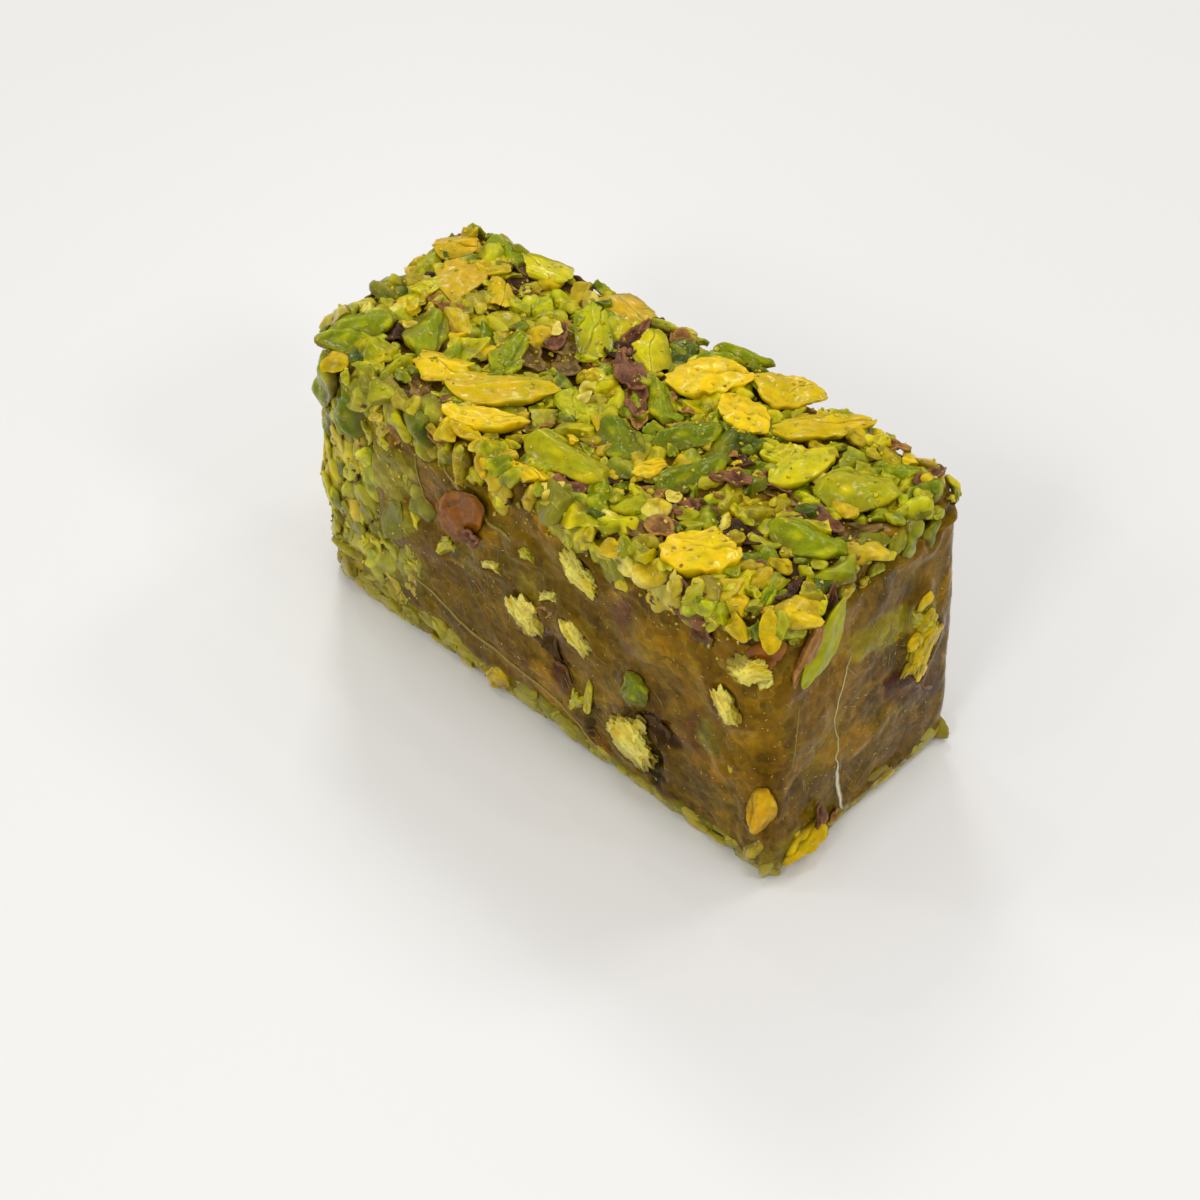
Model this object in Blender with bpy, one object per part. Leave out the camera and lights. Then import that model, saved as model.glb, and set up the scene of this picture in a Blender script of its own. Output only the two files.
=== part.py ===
"""A cut block of turkish delight: a jelly body with a coat of chopped pistachios.

The jelly shows at the two long cut sides and at the cut right end. The nut coat runs through the whole
width of the block, over the top, down the left end and under the base. The pistachio kernels that are as
large as berries are pieces of their own: they lie on the coat, or stick to the cut faces.

Run it with: blender --background --python part.py
The long side is X, with the cut end at +X. Z is up, and the block rests on its base at Z = 0.
"""

import math

import bmesh
import bpy
from mathutils import Matrix, Vector, noise
from mathutils.bvhtree import BVHTree

MM = 0.001  # every size below is in millimetres

# ---- The block: four corners at the base and at the top, and how round each upright edge is there ----
BLOCK_HEIGHT = 42.0
BASE_CORNERS = ((-42.4, -17.6), (41.4, -17.9), (43.7, 17.6), (-43.6, 15.6))
TOP_CORNERS = ((-41.4, -17.4), (38.6, -17.9), (38.8, 19.8), (-44.2, 16.8))
BASE_ROUNDING = (5.0, 1.4, 2.2, 5.0)
TOP_ROUNDING = (7.5, 8.5, 2.8, 3.5)
SIDE_STEPS = (27, 11, 27, 11)  # spans along each side of the outline
CORNER_STEPS = 4  # spans round each corner
SLUMP = 0.5  # how far the sides belly out at their middle
LUMP_SIZE = 8.0  # from one lump of the surface to the next
CUT_LUMPS = 0.28  # how far the cut sides wander in and out
COAT_LUMPS = 0.8  # how far the coated left end does
TOP_LUMPS = 1.3  # how far the top of the coat dips

# Rings of the block from the base up, then across the top: (height share, inset, lumps on the top)
SKIN_RINGS = (
    (0.0, 0.9, 0.0),
    (0.012, 0.3, 0.0),
    (0.04, 0.0, 0.0),
    (0.16, 0.0, 0.0),
    (0.30, 0.0, 0.0),
    (0.45, 0.0, 0.0),
    (0.60, 0.0, 0.0),
    (0.75, 0.0, 0.0),
    (0.88, 0.0, 0.0),
    (0.965, 0.0, 0.0),
    (0.99, 0.6, 0.0),
    (1.0, 1.9, 0.4),
    (1.0, 4.6, 1.0),
    (1.0, 7.6, 1.0),
    (1.0, 10.6, 1.0),
    (1.0, 13.6, 1.0),
    (1.0, 16.4, 1.0),
)

# ---- Where the jelly ends and the coat begins, in the upright plane along the block ----
COAT_UNDER_LEFT = 6.2  # coat under the jelly at its left end
COAT_UNDER_RIGHT = 2.6  # and at the cut right end
COAT_OVER_LEFT = 5.6  # coat over the jelly at its left end
COAT_OVER_RIGHT = 3.4
COAT_END_X = -27.6  # the jelly's left end
COAT_RAGGED = 0.9  # how far the border wanders
BORDER_STEPS = 26
BORDER_LUMP = 6.0
CUT_BEYOND = 60.0  # the border runs on past the cut end, so that the jelly shows there
CUT_HALF_WIDTH = 30.0

GAP = 0.3  # clear space between pieces that touch
FACE_GAP = 0.55  # the same, on the uneven cut faces

# ---- The large kernels ----
# Each kernel: (place along the face, place across it, length, width, thickness, turn in degrees)
HALF_KERNELS_ON_TOP = (
    (-14.6, -7.2, 14.0, 6.0, 2.6, 34.0),
    (-12.4, -12.9, 11.2, 4.4, 2.4, 30.0),
    (3.2, 12.7, 10.4, 7.6, 2.6, 62.0),
    (11.4, 10.2, 8.0, 5.0, 2.4, -12.0),
    (12.8, 17.2, 9.0, 6.2, 2.6, 18.0),
    (20.4, 15.0, 11.5, 5.0, 2.8, 58.0),
    (23.2, 7.6, 10.0, 5.0, 2.6, 80.0),
    (24.0, -13.2, 8.6, 7.4, 2.8, 62.0),
    (-35.6, 6.0, 9.4, 6.8, 2.0, -62.0),
)
WHOLE_KERNELS_ON_TOP = (
    (0.4, -10.8, 12.2, 6.2, 2.8, 8.0),
    (3.6, 19.7, 8.0, 2.6, 2.2, 20.0),
    (30.4, 9.0, 10.0, 7.4, 2.4, 48.0),
    (31.4, -2.2, 9.6, 5.4, 2.8, 18.0),
    (8.6, 2.6, 9.0, 5.0, 2.6, 62.0),
    (13.7, -2.6, 10.0, 4.0, 2.8, 76.0),
    (2.8, -3.6, 8.4, 5.6, 2.4, -24.0),
    (-31.0, -5.0, 10.0, 6.2, 2.2, -52.0),
    (-19.9, -0.8, 8.6, 4.4, 2.4, -66.0),
    (-35.6, 15.0, 7.4, 3.6, 2.4, -12.0),
    (1.4, 5.4, 8.0, 3.8, 2.4, -34.0),
    (-38.0, -9.4, 8.0, 5.0, 2.6, 70.0),
)
BROKEN_KERNELS_ON_TOP = (
    (-23.6, -8.8, 7.4, 5.8, 2.6, 40.0),
    (-28.0, 15.6, 7.4, 5.0, 2.6, 20.0),
    (-14.6, 16.8, 8.4, 5.2, 2.2, -8.0),
    (-14.2, 9.8, 9.6, 5.2, 2.4, -46.0),
    (-5.4, 11.6, 7.2, 5.4, 2.6, -30.0),
    (-29.0, 7.6, 7.2, 4.2, 2.2, -50.0),
    (-41.2, 10.8, 6.4, 4.6, 2.8, 62.0),
)
# On the near long side, place across it is the height.
WHOLE_KERNELS_ON_SIDE = (
    (19.3, 20.4, 6.4, 4.8, 1.6, 80.0),
    (-25.0, 21.6, 9.0, 5.0, 1.2, 74.0),
)
BROKEN_KERNELS_ON_SIDE = (
    (-11.3, 31.2, 11.0, 6.6, 1.8, 48.0),
    (9.4, 34.2, 7.6, 4.8, 1.6, -18.0),
    (0.0, 20.6, 8.6, 5.6, 1.4, 118.0),
    (9.0, 22.8, 8.0, 3.8, 1.4, 140.0),
    (19.0, 9.8, 11.4, 8.2, 2.0, 124.0),
    (33.2, 28.4, 6.6, 4.8, 1.4, 120.0),
)
# Round the near upright edge: (bearing in degrees from +X, height, length, width, thickness, turn)
HALF_KERNELS_ON_EDGE = ((-43.0, 40.6, 5.8, 3.8, 1.6, 84.0),)
WHOLE_KERNELS_ON_EDGE = ((-41.5, 12.8, 8.6, 4.2, 1.6, 86.0),)
BROKEN_KERNELS_ON_EDGE = ((-55.0, 35.0, 5.6, 5.0, 1.8, 10.0),)
# On the cut end, place along the face is Y and place across it is the height.
HALF_KERNELS_ON_END = (
    (-9.2, 36.6, 12.2, 5.8, 1.8, 52.0),
    (-12.2, 3.4, 8.2, 5.2, 3.0, 14.0),
)
BROKEN_KERNELS_ON_END = ((10.9, 21.2, 12.6, 5.2, 1.4, 56.0),)

KERNEL_SEGMENTS = 12
KERNEL_RINGS = 8
KERNEL_TAPER = 0.26  # how much narrower one tip is than the other
KERNEL_FULLNESS = 0.35  # 0 is an ellipse, and more is fuller between the tips
HALF_FLATNESS = 0.62  # below 1 the upper side is flatter, as on a split kernel
BROKEN_NOTCH = 0.16  # how far the broken pieces' outline wanders, as a share of their width

# Colours from the photograph, as linear red, green, blue
JELLY_COLOUR = (0.135, 0.078, 0.016)
COAT_COLOUR = (0.27, 0.24, 0.02)
HALF_COLOUR = (0.64, 0.48, 0.02)
WHOLE_COLOUR = (0.28, 0.29, 0.01)
BROKEN_COLOUR = (0.60, 0.50, 0.09)


def material(name, colour, roughness):
    """A plain Principled material."""
    made = bpy.data.materials.new(name)
    made.use_nodes = True
    shader = made.node_tree.nodes["Principled BSDF"]
    shader.inputs["Base Color"].default_value = (*colour, 1.0)
    shader.inputs["Roughness"].default_value = roughness
    shader.inputs["Metallic"].default_value = 0.0
    return made


def add_object(name, mesh, finish):
    """Links a named object that shows this mesh in this material."""
    mesh.materials.append(finish)
    made = bpy.data.objects.new(name, mesh)
    bpy.context.scene.collection.objects.link(made)
    return made


def smooth(mesh, angle=40.0):
    """Shades a round piece smooth, and keeps its sharp edges."""
    mesh.shade_smooth()
    mesh.set_sharp_from_angle(angle=math.radians(angle))


def mesh_of(shape, name):
    """Turns a bmesh in millimetres into a mesh in metres."""
    bmesh.ops.scale(shape, vec=(MM, MM, MM), verts=shape.verts)
    bmesh.ops.recalc_face_normals(shape, faces=shape.faces)
    mesh = bpy.data.meshes.new(name)
    shape.to_mesh(mesh)
    shape.free()
    return mesh


def mix(low, high, share):
    """A number or a point between two others."""
    if isinstance(low, tuple):
        return tuple(mix(a, b, share) for a, b in zip(low, high))
    return low + (high - low) * share


def inset_corners(corners, inset):
    """The corners of the outline whose sides lie this far inside the given ones."""
    moved = []
    for index, corner in enumerate(corners):
        here = Vector(corner)
        before = (here - Vector(corners[index - 1])).normalized()
        after = (Vector(corners[(index + 1) % len(corners)]) - here).normalized()
        inward = Vector((-before.y, before.x)) + Vector((-after.y, after.x))
        half_turn = 0.5 * before.angle(after)
        moved.append(here + inward.normalized() * inset / math.cos(half_turn))
    return moved


def ring_points(share, inset):
    """The block's outline at a share of its height: sides with fillets between them, anticlockwise."""
    corners = [mix(a, b, share) for a, b in zip(BASE_CORNERS, TOP_CORNERS)]
    rounding = [mix(a, b, share) for a, b in zip(BASE_ROUNDING, TOP_ROUNDING)]
    belly = SLUMP * math.sin(math.pi * min(share * 1.15, 1.0))
    corners = inset_corners(corners, inset - belly)
    arcs = []
    for index, corner in enumerate(corners):
        back = (corners[index - 1] - corner).normalized()
        ahead = (corners[(index + 1) % 4] - corner).normalized()
        half = 0.5 * back.angle(ahead)
        radius = max(rounding[index] - 0.6 * inset, 0.5)
        centre = corner + (back + ahead).normalized() * radius / math.sin(half)
        first = corner + back * radius / math.tan(half) - centre
        sweep = math.pi - 2.0 * half
        arcs.append([
            centre + Matrix.Rotation(sweep * step / CORNER_STEPS, 2) @ first
            for step in range(CORNER_STEPS + 1)
        ])
    points = []
    for index, arc in enumerate(arcs):
        points += arc
        end = arcs[(index + 1) % 4][0]
        steps = SIDE_STEPS[index]
        points += [arc[-1].lerp(end, step / steps) for step in range(1, steps)]
    return points


def lump(point, seed):
    """A soft bump between -1 and 1 that depends only on the place."""
    place = Vector((point[0], point[1], point[2])) / LUMP_SIZE + Vector((seed, 0.0, 0.0))
    return max(-1.0, min(1.0, 1.8 * noise.noise(place)))


def cap(shape, ring):
    """Closes a ring: strips from the near side to the far side, and one face at each end."""
    long_steps, end_steps = SIDE_STEPS[0], SIDE_STEPS[1]
    near_first = CORNER_STEPS
    near_last = near_first + long_steps
    far_first = near_last + CORNER_STEPS + end_steps + CORNER_STEPS
    far_last = far_first + long_steps
    near = ring[near_first:near_last + 1]
    far = list(reversed(ring[far_first:far_last + 1]))
    for index in range(long_steps):
        shape.faces.new((near[index], near[index + 1], far[index + 1], far[index]))
    shape.faces.new(ring[near_last:far_first + 1])
    shape.faces.new(ring[far_last:] + ring[:near_first + 1])


def side_lumps(x):
    """How far the side wanders here: little on the cut faces, more where the coat closes the left end."""
    coated = max(0.0, min(1.0, (COAT_END_X - 4.0 - x) / 8.0))
    return mix(CUT_LUMPS, COAT_LUMPS, coated)


def block_shape():
    """The whole block, jelly and coat together, as one closed bmesh in millimetres."""
    shape = bmesh.new()
    rings = []
    for share, inset, top_lumps in SKIN_RINGS:
        height = share * BLOCK_HEIGHT
        ring = []
        for point in ring_points(share, inset):
            outward = point.normalized()
            side = side_lumps(point.x) * lump((*point, height), 3.0) * min(1.0, share * 8.0)
            dip = 0.5 * TOP_LUMPS * top_lumps * (lump((*point, height), 11.0) - 1.0)
            ring.append(shape.verts.new((*(point + outward * side), height + dip)))
        rings.append(ring)
    for low, high in zip(rings, rings[1:]):
        for index in range(len(low)):
            following = (index + 1) % len(low)
            shape.faces.new((low[index], low[following], high[following], high[index]))
    cap(shape, rings[0])
    cap(shape, rings[-1])
    bmesh.ops.recalc_face_normals(shape, faces=shape.faces)
    return shape


def ragged(along, seed):
    """How far the border of the coat wanders at this place."""
    return COAT_RAGGED * 1.6 * noise.noise(Vector((along / BORDER_LUMP, seed, 0.5)))


def border_outline(grow):
    """The jelly's outline in the X Z plane, grown by the gap: base, left end, top, and past the cut end."""
    right = 0.5 * (BASE_CORNERS[1][0] + BASE_CORNERS[2][0])
    spread = right - COAT_END_X
    under, over = [], []
    for step in range(BORDER_STEPS + 1):
        share = step / BORDER_STEPS
        along = COAT_END_X + spread * share
        low = mix(COAT_UNDER_LEFT, COAT_UNDER_RIGHT, min(1.0, share * 1.8))
        high = BLOCK_HEIGHT - mix(COAT_OVER_LEFT, COAT_OVER_RIGHT, share)
        under.append((along, low + ragged(along, 1.0) - grow))
        over.append((along, high + ragged(along, 7.0) + grow))
    left = []
    for step in range(1, BORDER_STEPS // 2):
        share = 2.0 * step / BORDER_STEPS
        height = mix(under[0][1], over[0][1], share)
        bow = -1.5 * math.sin(math.pi * share)
        left.append((COAT_END_X - grow + bow + ragged(height, 4.0), height))
    first = (under[0][0] + 2.0 - grow, under[0][1])
    last = (over[0][0] + 1.6 - grow, over[0][1])
    beyond = [(CUT_BEYOND, over[-1][1]), (CUT_BEYOND, under[-1][1])]
    return [first, *left, last, *over[1:], *beyond, *reversed(under[1:])]


def border_cutter(name, grow):
    """A prism through the whole width of the block with the jelly's outline, hidden."""
    shape = bmesh.new()
    near = [shape.verts.new((x, -CUT_HALF_WIDTH, z)) for x, z in border_outline(grow)]
    face = shape.faces.new(near)
    pushed = bmesh.ops.extrude_face_region(shape, geom=[face])
    moved = [item for item in pushed["geom"] if isinstance(item, bmesh.types.BMVert)]
    bmesh.ops.translate(shape, verts=moved, vec=(0.0, 2.0 * CUT_HALF_WIDTH, 0.0))
    cutter = bpy.data.objects.new(name, mesh_of(shape, name))
    bpy.context.scene.collection.objects.link(cutter)
    cutter.hide_render = True
    cutter.display_type = "WIRE"
    return cutter


def cut_from_block(name, finish, cutter, operation):
    """One layer of the block: what a Boolean with the cutter leaves of it."""
    made = add_object(name, mesh_of(block_shape(), name), finish)
    smooth(made.data)
    boolean = made.modifiers.new("border", "BOOLEAN")
    boolean.operation = operation
    boolean.object = cutter
    return made


def kernel_shape(length, width, thickness, flatness=1.0, broken_seed=None):
    """Half an almond shape on its flat face, in millimetres, with its long side along X."""
    shape = bmesh.new()
    bmesh.ops.create_uvsphere(
        shape, u_segments=KERNEL_SEGMENTS, v_segments=KERNEL_RINGS, radius=1.0,
        matrix=Matrix.Rotation(math.radians(90.0), 4, "Y"),
    )
    for vertex in shape.verts:
        along = vertex.co.x
        full = (1.0 - along * along) ** (-0.5 * KERNEL_FULLNESS) if abs(along) < 0.98 else 1.0
        taper = min(full, 1.35) * (1.0 - KERNEL_TAPER * along) / (1.0 + 0.5 * KERNEL_TAPER)
        if broken_seed is not None:
            taper *= 1.0 + BROKEN_NOTCH * noise.noise(vertex.co * 1.7 + Vector((broken_seed, 0, 0)))
        vertex.co.x *= 0.5 * length
        vertex.co.y *= 0.5 * width * taper
        rise = math.copysign(abs(vertex.co.z) ** flatness, vertex.co.z)
        vertex.co.z = thickness * rise * (taper / 1.2) ** flatness
    whole = shape.verts[:] + shape.edges[:] + shape.faces[:]
    cut = bmesh.ops.bisect_plane(
        shape, geom=whole, dist=1e-4, plane_co=(0, 0, 0), plane_no=(0, 0, 1), clear_inner=True
    )
    rim = [item for item in cut["geom_cut"] if isinstance(item, bmesh.types.BMEdge)]
    bmesh.ops.contextual_create(shape, geom=rim)
    return shape


def stand(place, normal, turn):
    """A matrix in millimetres that lays a piece's flat face on a surface, turned about its normal."""
    upward = Vector(normal).normalized()
    level = Vector((0.0, 0.0, 1.0)).cross(upward)
    along = level.normalized() if level.length > 0.2 else Vector((1.0, 0.0, 0.0))
    across = upward.cross(along).normalized()
    along = across.cross(upward)
    axes = Matrix((along, across, upward)).transposed().to_4x4()
    return Matrix.Translation(place) @ axes @ Matrix.Rotation(math.radians(turn), 4, "Z")


def add_kernel(name, finish, sizes, where, flatness, broken_seed):
    """One kernel, with its mesh in place and its object at the origin."""
    shape = kernel_shape(*sizes, flatness=flatness, broken_seed=broken_seed)
    bmesh.ops.transform(shape, matrix=where, verts=shape.verts)
    mesh = mesh_of(shape, name)
    smooth(mesh)
    return add_object(name, mesh, finish)


def surface_at(tree, start, direction):
    """Where a ray from outside meets the block, and the surface's normal there."""
    place, normal, _, _ = tree.ray_cast(Vector(start), Vector(direction))
    return place, normal


def on_top(rows):
    """Sizes and standing place of the kernels that lie on the coat."""
    places = []
    for x, y, *sizes, turn in rows:
        places.append((sizes, stand(Vector((x, y, BLOCK_HEIGHT + GAP)), (0, 0, 1), turn)))
    return places


def on_side(rows, tree):
    """Sizes and standing place of the kernels on the near long side."""
    places = []
    for x, height, *sizes, turn in rows:
        place, normal = surface_at(tree, (x, -80.0, height), (0, 1, 0))
        places.append((sizes, stand(place + normal * FACE_GAP, normal, turn)))
    return places


def on_end(rows, tree):
    """Sizes and standing place of the kernels on the cut end."""
    places = []
    for y, height, *sizes, turn in rows:
        place, normal = surface_at(tree, (90.0, y, height), (-1, 0, 0))
        places.append((sizes, stand(place + normal * FACE_GAP, normal, turn)))
    return places


def on_edge(rows, tree):
    """Sizes and standing place of the kernels round the near upright edge."""
    corner, rounding = TOP_CORNERS[1], TOP_ROUNDING[1]
    places = []
    for bearing, height, *sizes, turn in rows:
        outward = Vector((math.cos(math.radians(bearing)), math.sin(math.radians(bearing)), 0.0))
        middle = Vector((corner[0] - rounding, corner[1] + rounding, height))
        place, normal = surface_at(tree, middle + outward * 40.0, -outward)
        places.append((sizes, stand(place + normal * FACE_GAP, normal, turn)))
    return places


def kernels_of_kind(kind, finish, places, flatness=1.0, broken=False):
    """Every kernel of one kind, numbered through."""
    for number, (sizes, where) in enumerate(places, start=1):
        seed = float(number) if broken else None
        add_kernel(f"{kind}_{number:02d}", finish, sizes, where, flatness, seed)


def build():
    """Makes every piece of the block."""
    for old in list(bpy.data.objects):
        bpy.data.objects.remove(old)
    jelly = material("jelly", JELLY_COLOUR, 0.25)
    coat = material("nut_coat", COAT_COLOUR, 0.45)
    half = material("kernel_half", HALF_COLOUR, 0.4)
    whole = material("kernel_whole", WHOLE_COLOUR, 0.45)
    broken = material("kernel_broken", BROKEN_COLOUR, 0.6)

    cut_from_block("jelly_body", jelly, border_cutter("jelly_border", 0.0), "INTERSECT")
    cut_from_block("nut_coat", coat, border_cutter("coat_border", GAP), "DIFFERENCE")

    block = block_shape()
    tree = BVHTree.FromBMesh(block)
    block.free()
    halves = on_top(HALF_KERNELS_ON_TOP)
    halves += on_end(HALF_KERNELS_ON_END, tree)
    halves += on_edge(HALF_KERNELS_ON_EDGE, tree)
    kernels_of_kind("half_kernel", half, halves, flatness=HALF_FLATNESS)
    wholes = on_top(WHOLE_KERNELS_ON_TOP)
    wholes += on_side(WHOLE_KERNELS_ON_SIDE, tree)
    wholes += on_edge(WHOLE_KERNELS_ON_EDGE, tree)
    kernels_of_kind("whole_kernel", whole, wholes)
    pieces = on_top(BROKEN_KERNELS_ON_TOP)
    pieces += on_side(BROKEN_KERNELS_ON_SIDE, tree)
    pieces += on_end(BROKEN_KERNELS_ON_END, tree)
    pieces += on_edge(BROKEN_KERNELS_ON_EDGE, tree)
    kernels_of_kind("broken_kernel", broken, pieces, broken=True)


build()
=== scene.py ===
"""The looks of a cut block of pistachio turkish delight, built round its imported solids.

A translucent jelly shows at the two long cut sides and at the cut right end. Chopped pistachios cover the
top, the left end and the foot. The large kernels stand where their solids stand. Tables give millimetres.
"""

import logging
import math
from collections.abc import Callable, Iterable, Iterator, Sequence
from contextlib import contextmanager
from dataclasses import dataclass, field
from enum import Enum

import bmesh
import bpy
import numpy as np
from bpy.types import ID, Material, Mesh, NodeOutputs, NodeSocket, NodeTree, Object
from mathutils import Matrix, Vector, noise
from mathutils.bvhtree import BVHTree


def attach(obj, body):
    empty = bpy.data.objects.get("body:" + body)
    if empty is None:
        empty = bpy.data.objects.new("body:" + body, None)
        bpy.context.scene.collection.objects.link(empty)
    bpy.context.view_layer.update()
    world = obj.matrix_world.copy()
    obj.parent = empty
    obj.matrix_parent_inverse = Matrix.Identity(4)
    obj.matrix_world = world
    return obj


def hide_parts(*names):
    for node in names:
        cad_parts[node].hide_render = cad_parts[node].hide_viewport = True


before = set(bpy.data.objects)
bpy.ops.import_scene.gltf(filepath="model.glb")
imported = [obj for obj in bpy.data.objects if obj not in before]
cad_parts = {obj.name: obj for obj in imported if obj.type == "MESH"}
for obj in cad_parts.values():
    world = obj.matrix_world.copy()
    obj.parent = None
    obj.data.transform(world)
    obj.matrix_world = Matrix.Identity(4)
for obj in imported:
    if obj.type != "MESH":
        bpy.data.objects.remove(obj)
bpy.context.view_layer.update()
LOG = logging.getLogger("turkish_delight")

MM = 0.001
SEED = 20
AWAY = 100.0  # mm, outside every piece
CRISP_ANGLE = math.radians(42.0)  # steeper edges show as edges on crisp pieces
Colour = tuple[float, float, float]
noise.seed_set(SEED)  # without it noise_vector follows the clock


def shade(*channels: int) -> Colour:
    """A colour as it is seen on a screen, red, green and blue from 0 to 255, as linear light from 0 to 1."""
    shares = (value / 255.0 for value in channels)
    return tuple(share / 12.92 if share <= 0.04045 else ((share + 0.055) / 1.055) ** 2.4 for share in shares)


class Tint(Enum):
    """The colours of a nut piece: where it is broken or split open, and on its outer side."""

    YELLOW = (shade(204, 172, 2), shade(172, 148, 2))
    BRIGHT = (shade(226, 190, 2), shade(196, 164, 2))
    ORANGE = (shade(224, 176, 4), shade(208, 160, 4))
    LIME = (shade(202, 188, 4), shade(164, 158, 2))
    OLIVE = (shade(184, 164, 8), shade(154, 136, 6))
    GREEN = (shade(164, 162, 4), shade(106, 118, 0))
    FRESH = (shade(182, 180, 2), shade(132, 142, 0))
    DARK_GREEN = (shade(118, 120, 4), shade(72, 86, 0))
    PALE = (shade(232, 216, 96), shade(204, 176, 24))
    OCHRE = (shade(200, 164, 26), shade(186, 150, 20))
    AMBER = (shade(170, 98, 2), shade(132, 72, 0))
    PURPLE = (shade(134, 86, 60), shade(98, 54, 40))
    DUSK = (shade(74, 44, 30), shade(44, 26, 20))
    PINK = (shade(166, 116, 60), shade(138, 90, 44))
    FILM = (shade(128, 98, 46), shade(92, 66, 26))
    # the gold of the specks and the finest crumbs, partly painted glints
    GOLD = (shade(222, 196, 112), shade(200, 170, 84))


YELLOW, BRIGHT, ORANGE, LIME, OLIVE, GREEN, FRESH, DARK_GREEN, PALE, OCHRE, AMBER, PURPLE, DUSK, PINK, FILM, GOLD = Tint


class Face(Enum):
    """A face of the block: the way in through it, and the two axes that place a piece on it."""

    TOP = ((0.0, 0.0, -1.0), 0, 1)
    NEAR = ((0.0, 1.0, 0.0), 0, 2)
    FAR = ((0.0, -1.0, 0.0), 0, 2)
    END = ((-1.0, 0.0, 0.0), 1, 2)
    LEFT = ((1.0, 0.0, 0.0), 1, 2)

    def ray(self, u: float, v: float) -> tuple[Vector, Vector]:
        """A ray from far outside, straight in through the face.

        Args:
            u: Place along the face.
            v: Place across it, which is the height on an upright face.

        Returns:
            Where it begins, in metres, and its way.
        """
        way, first, second = self.value
        begin = Vector(way) * -AWAY
        begin[first], begin[second] = u, v
        return begin * MM, Vector(way)


TOP, NEAR, FAR, END, LEFT = Face


# ---------------------------------------------------------------- modelling with the tools, as by hand


def start(add: Callable[..., object], **sizes: object) -> Object:
    """Adds a primitive with nothing else selected.

    Args:
        add: The operator that adds it.
        sizes: The operator's settings.

    Returns:
        The new object.
    """
    bpy.ops.object.select_all(action="DESELECT")
    add(**sizes)
    return bpy.context.active_object


def linked(name: str, data: ID) -> Object:
    """Puts an object with the given data in the scene, and selects nothing else.

    Args:
        name: The object's name.
        data: Its mesh, curve, light or camera.

    Returns:
        The object.
    """
    made = bpy.data.objects.new(name, data)
    bpy.context.scene.collection.objects.link(made)
    choose(made)
    return made


def choose(*pieces: Object) -> None:
    """Selects some pieces and nothing else, and makes the first of them active.

    Args:
        pieces: The pieces.
    """
    bpy.ops.object.select_all(action="DESELECT")
    for piece in pieces:
        piece.select_set(True)
    bpy.context.view_layer.objects.active = pieces[0]


@contextmanager
def editing(piece: Object) -> Iterator[bmesh.types.BMesh]:
    """Edit mode on one piece, for the length of a with block.

    Args:
        piece: The piece to edit.

    Yields:
        Its mesh in edit mode, to select in.
    """
    choose(piece)
    bpy.ops.object.mode_set(mode="EDIT")
    yield bmesh.from_edit_mesh(piece.data)
    bpy.ops.object.mode_set(mode="OBJECT")


def edit(piece: Object, change: Callable[..., object], **settings: object) -> None:
    """Uses an edit mode tool on the whole of a piece.

    Args:
        piece: The piece to change.
        change: The tool.
        settings: Its settings.
    """
    with editing(piece):
        bpy.ops.mesh.select_all(action="SELECT")
        change(**settings)


def modify(piece: Object, kind: str, **settings: object) -> None:
    """Adds a modifier and applies it.

    Args:
        piece: The piece to change.
        kind: The modifier's type.
        settings: Its settings.
    """
    modifier = piece.modifiers.new(kind.lower(), kind)
    for name, value in settings.items():
        setattr(modifier, name, value)
    bpy.context.view_layer.objects.active = piece
    bpy.ops.object.modifier_apply(modifier=modifier.name)


def roughen(piece: Object, size: float, strength: float) -> None:
    """Displaces a piece with a soft noise.

    Args:
        piece: The piece to change.
        size: From one bump to the next.
        strength: The bumps' height.
    """
    texture = bpy.data.textures.new("bumps", "CLOUDS")
    texture.noise_scale = size
    modify(piece, "DISPLACE", texture=texture, strength=strength, mid_level=0.5)


def read_points(mesh: Mesh, what: str = "co") -> np.ndarray:
    """Reads every vertex's place or normal.

    Args:
        mesh: The mesh.
        what: "co" for the places, "normal" for the normals.

    Returns:
        One row for each vertex.
    """
    flat = np.empty(len(mesh.vertices) * 3, np.float32)
    mesh.vertices.foreach_get(what, flat)
    return flat.reshape(-1, 3).astype(float)


def write_points(mesh: Mesh, points: np.ndarray) -> None:
    """Moves every vertex to its row's place."""
    mesh.vertices.foreach_set("co", points.astype(np.float32).ravel())
    mesh.update()


def paint(mesh: Mesh, colours: np.ndarray, grain: np.ndarray | None = None) -> None:
    """Stores a colour for each vertex, as linear light, and the place its grain is read at.

    Args:
        mesh: The mesh to paint.
        colours: One row of red, green and blue for each vertex.
        grain: One place for each vertex, along the piece's own length.
    """
    layer = mesh.color_attributes.new(name="tint", type="FLOAT_COLOR", domain="POINT")
    rows = np.ones((len(colours), 4), np.float32)
    rows[:, :3] = np.clip(colours, 0.0, 1.0)
    layer.data.foreach_set("color", rows.ravel())
    if grain is not None:
        places = mesh.attributes.new("grain", "FLOAT_VECTOR", "POINT")
        places.data.foreach_set("vector", grain.astype(np.float32).ravel())


def cloud(points: np.ndarray, size: float, seed: float = 0.0) -> np.ndarray:
    """Soft noise between about -1 and 1 at each point, with bumps of the given size."""
    rows = (points / size + (seed * 7.31, seed * 3.17, seed * 5.93)).tolist()
    return np.array([noise.noise(row) for row in rows]) * 1.4


def cells(points: np.ndarray, size: float, seed: float = 0.0) -> np.ndarray:
    """Pillows of about the given size: 0 on the line between two of them, rising to 1 inside.

    Args:
        points: One row for each point.
        size: From one pillow to the next.
        seed: Another seed is another pattern.

    Returns:
        One number for each point.
    """
    rows = (points / size + (seed * 5.31, seed * 2.17, seed * 8.93)).tolist()
    gaps = [near[1] - near[0] for near, _ in map(noise.voronoi, rows)]
    return np.clip(np.array(gaps) / 0.5, 0.0, 1.0)


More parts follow.
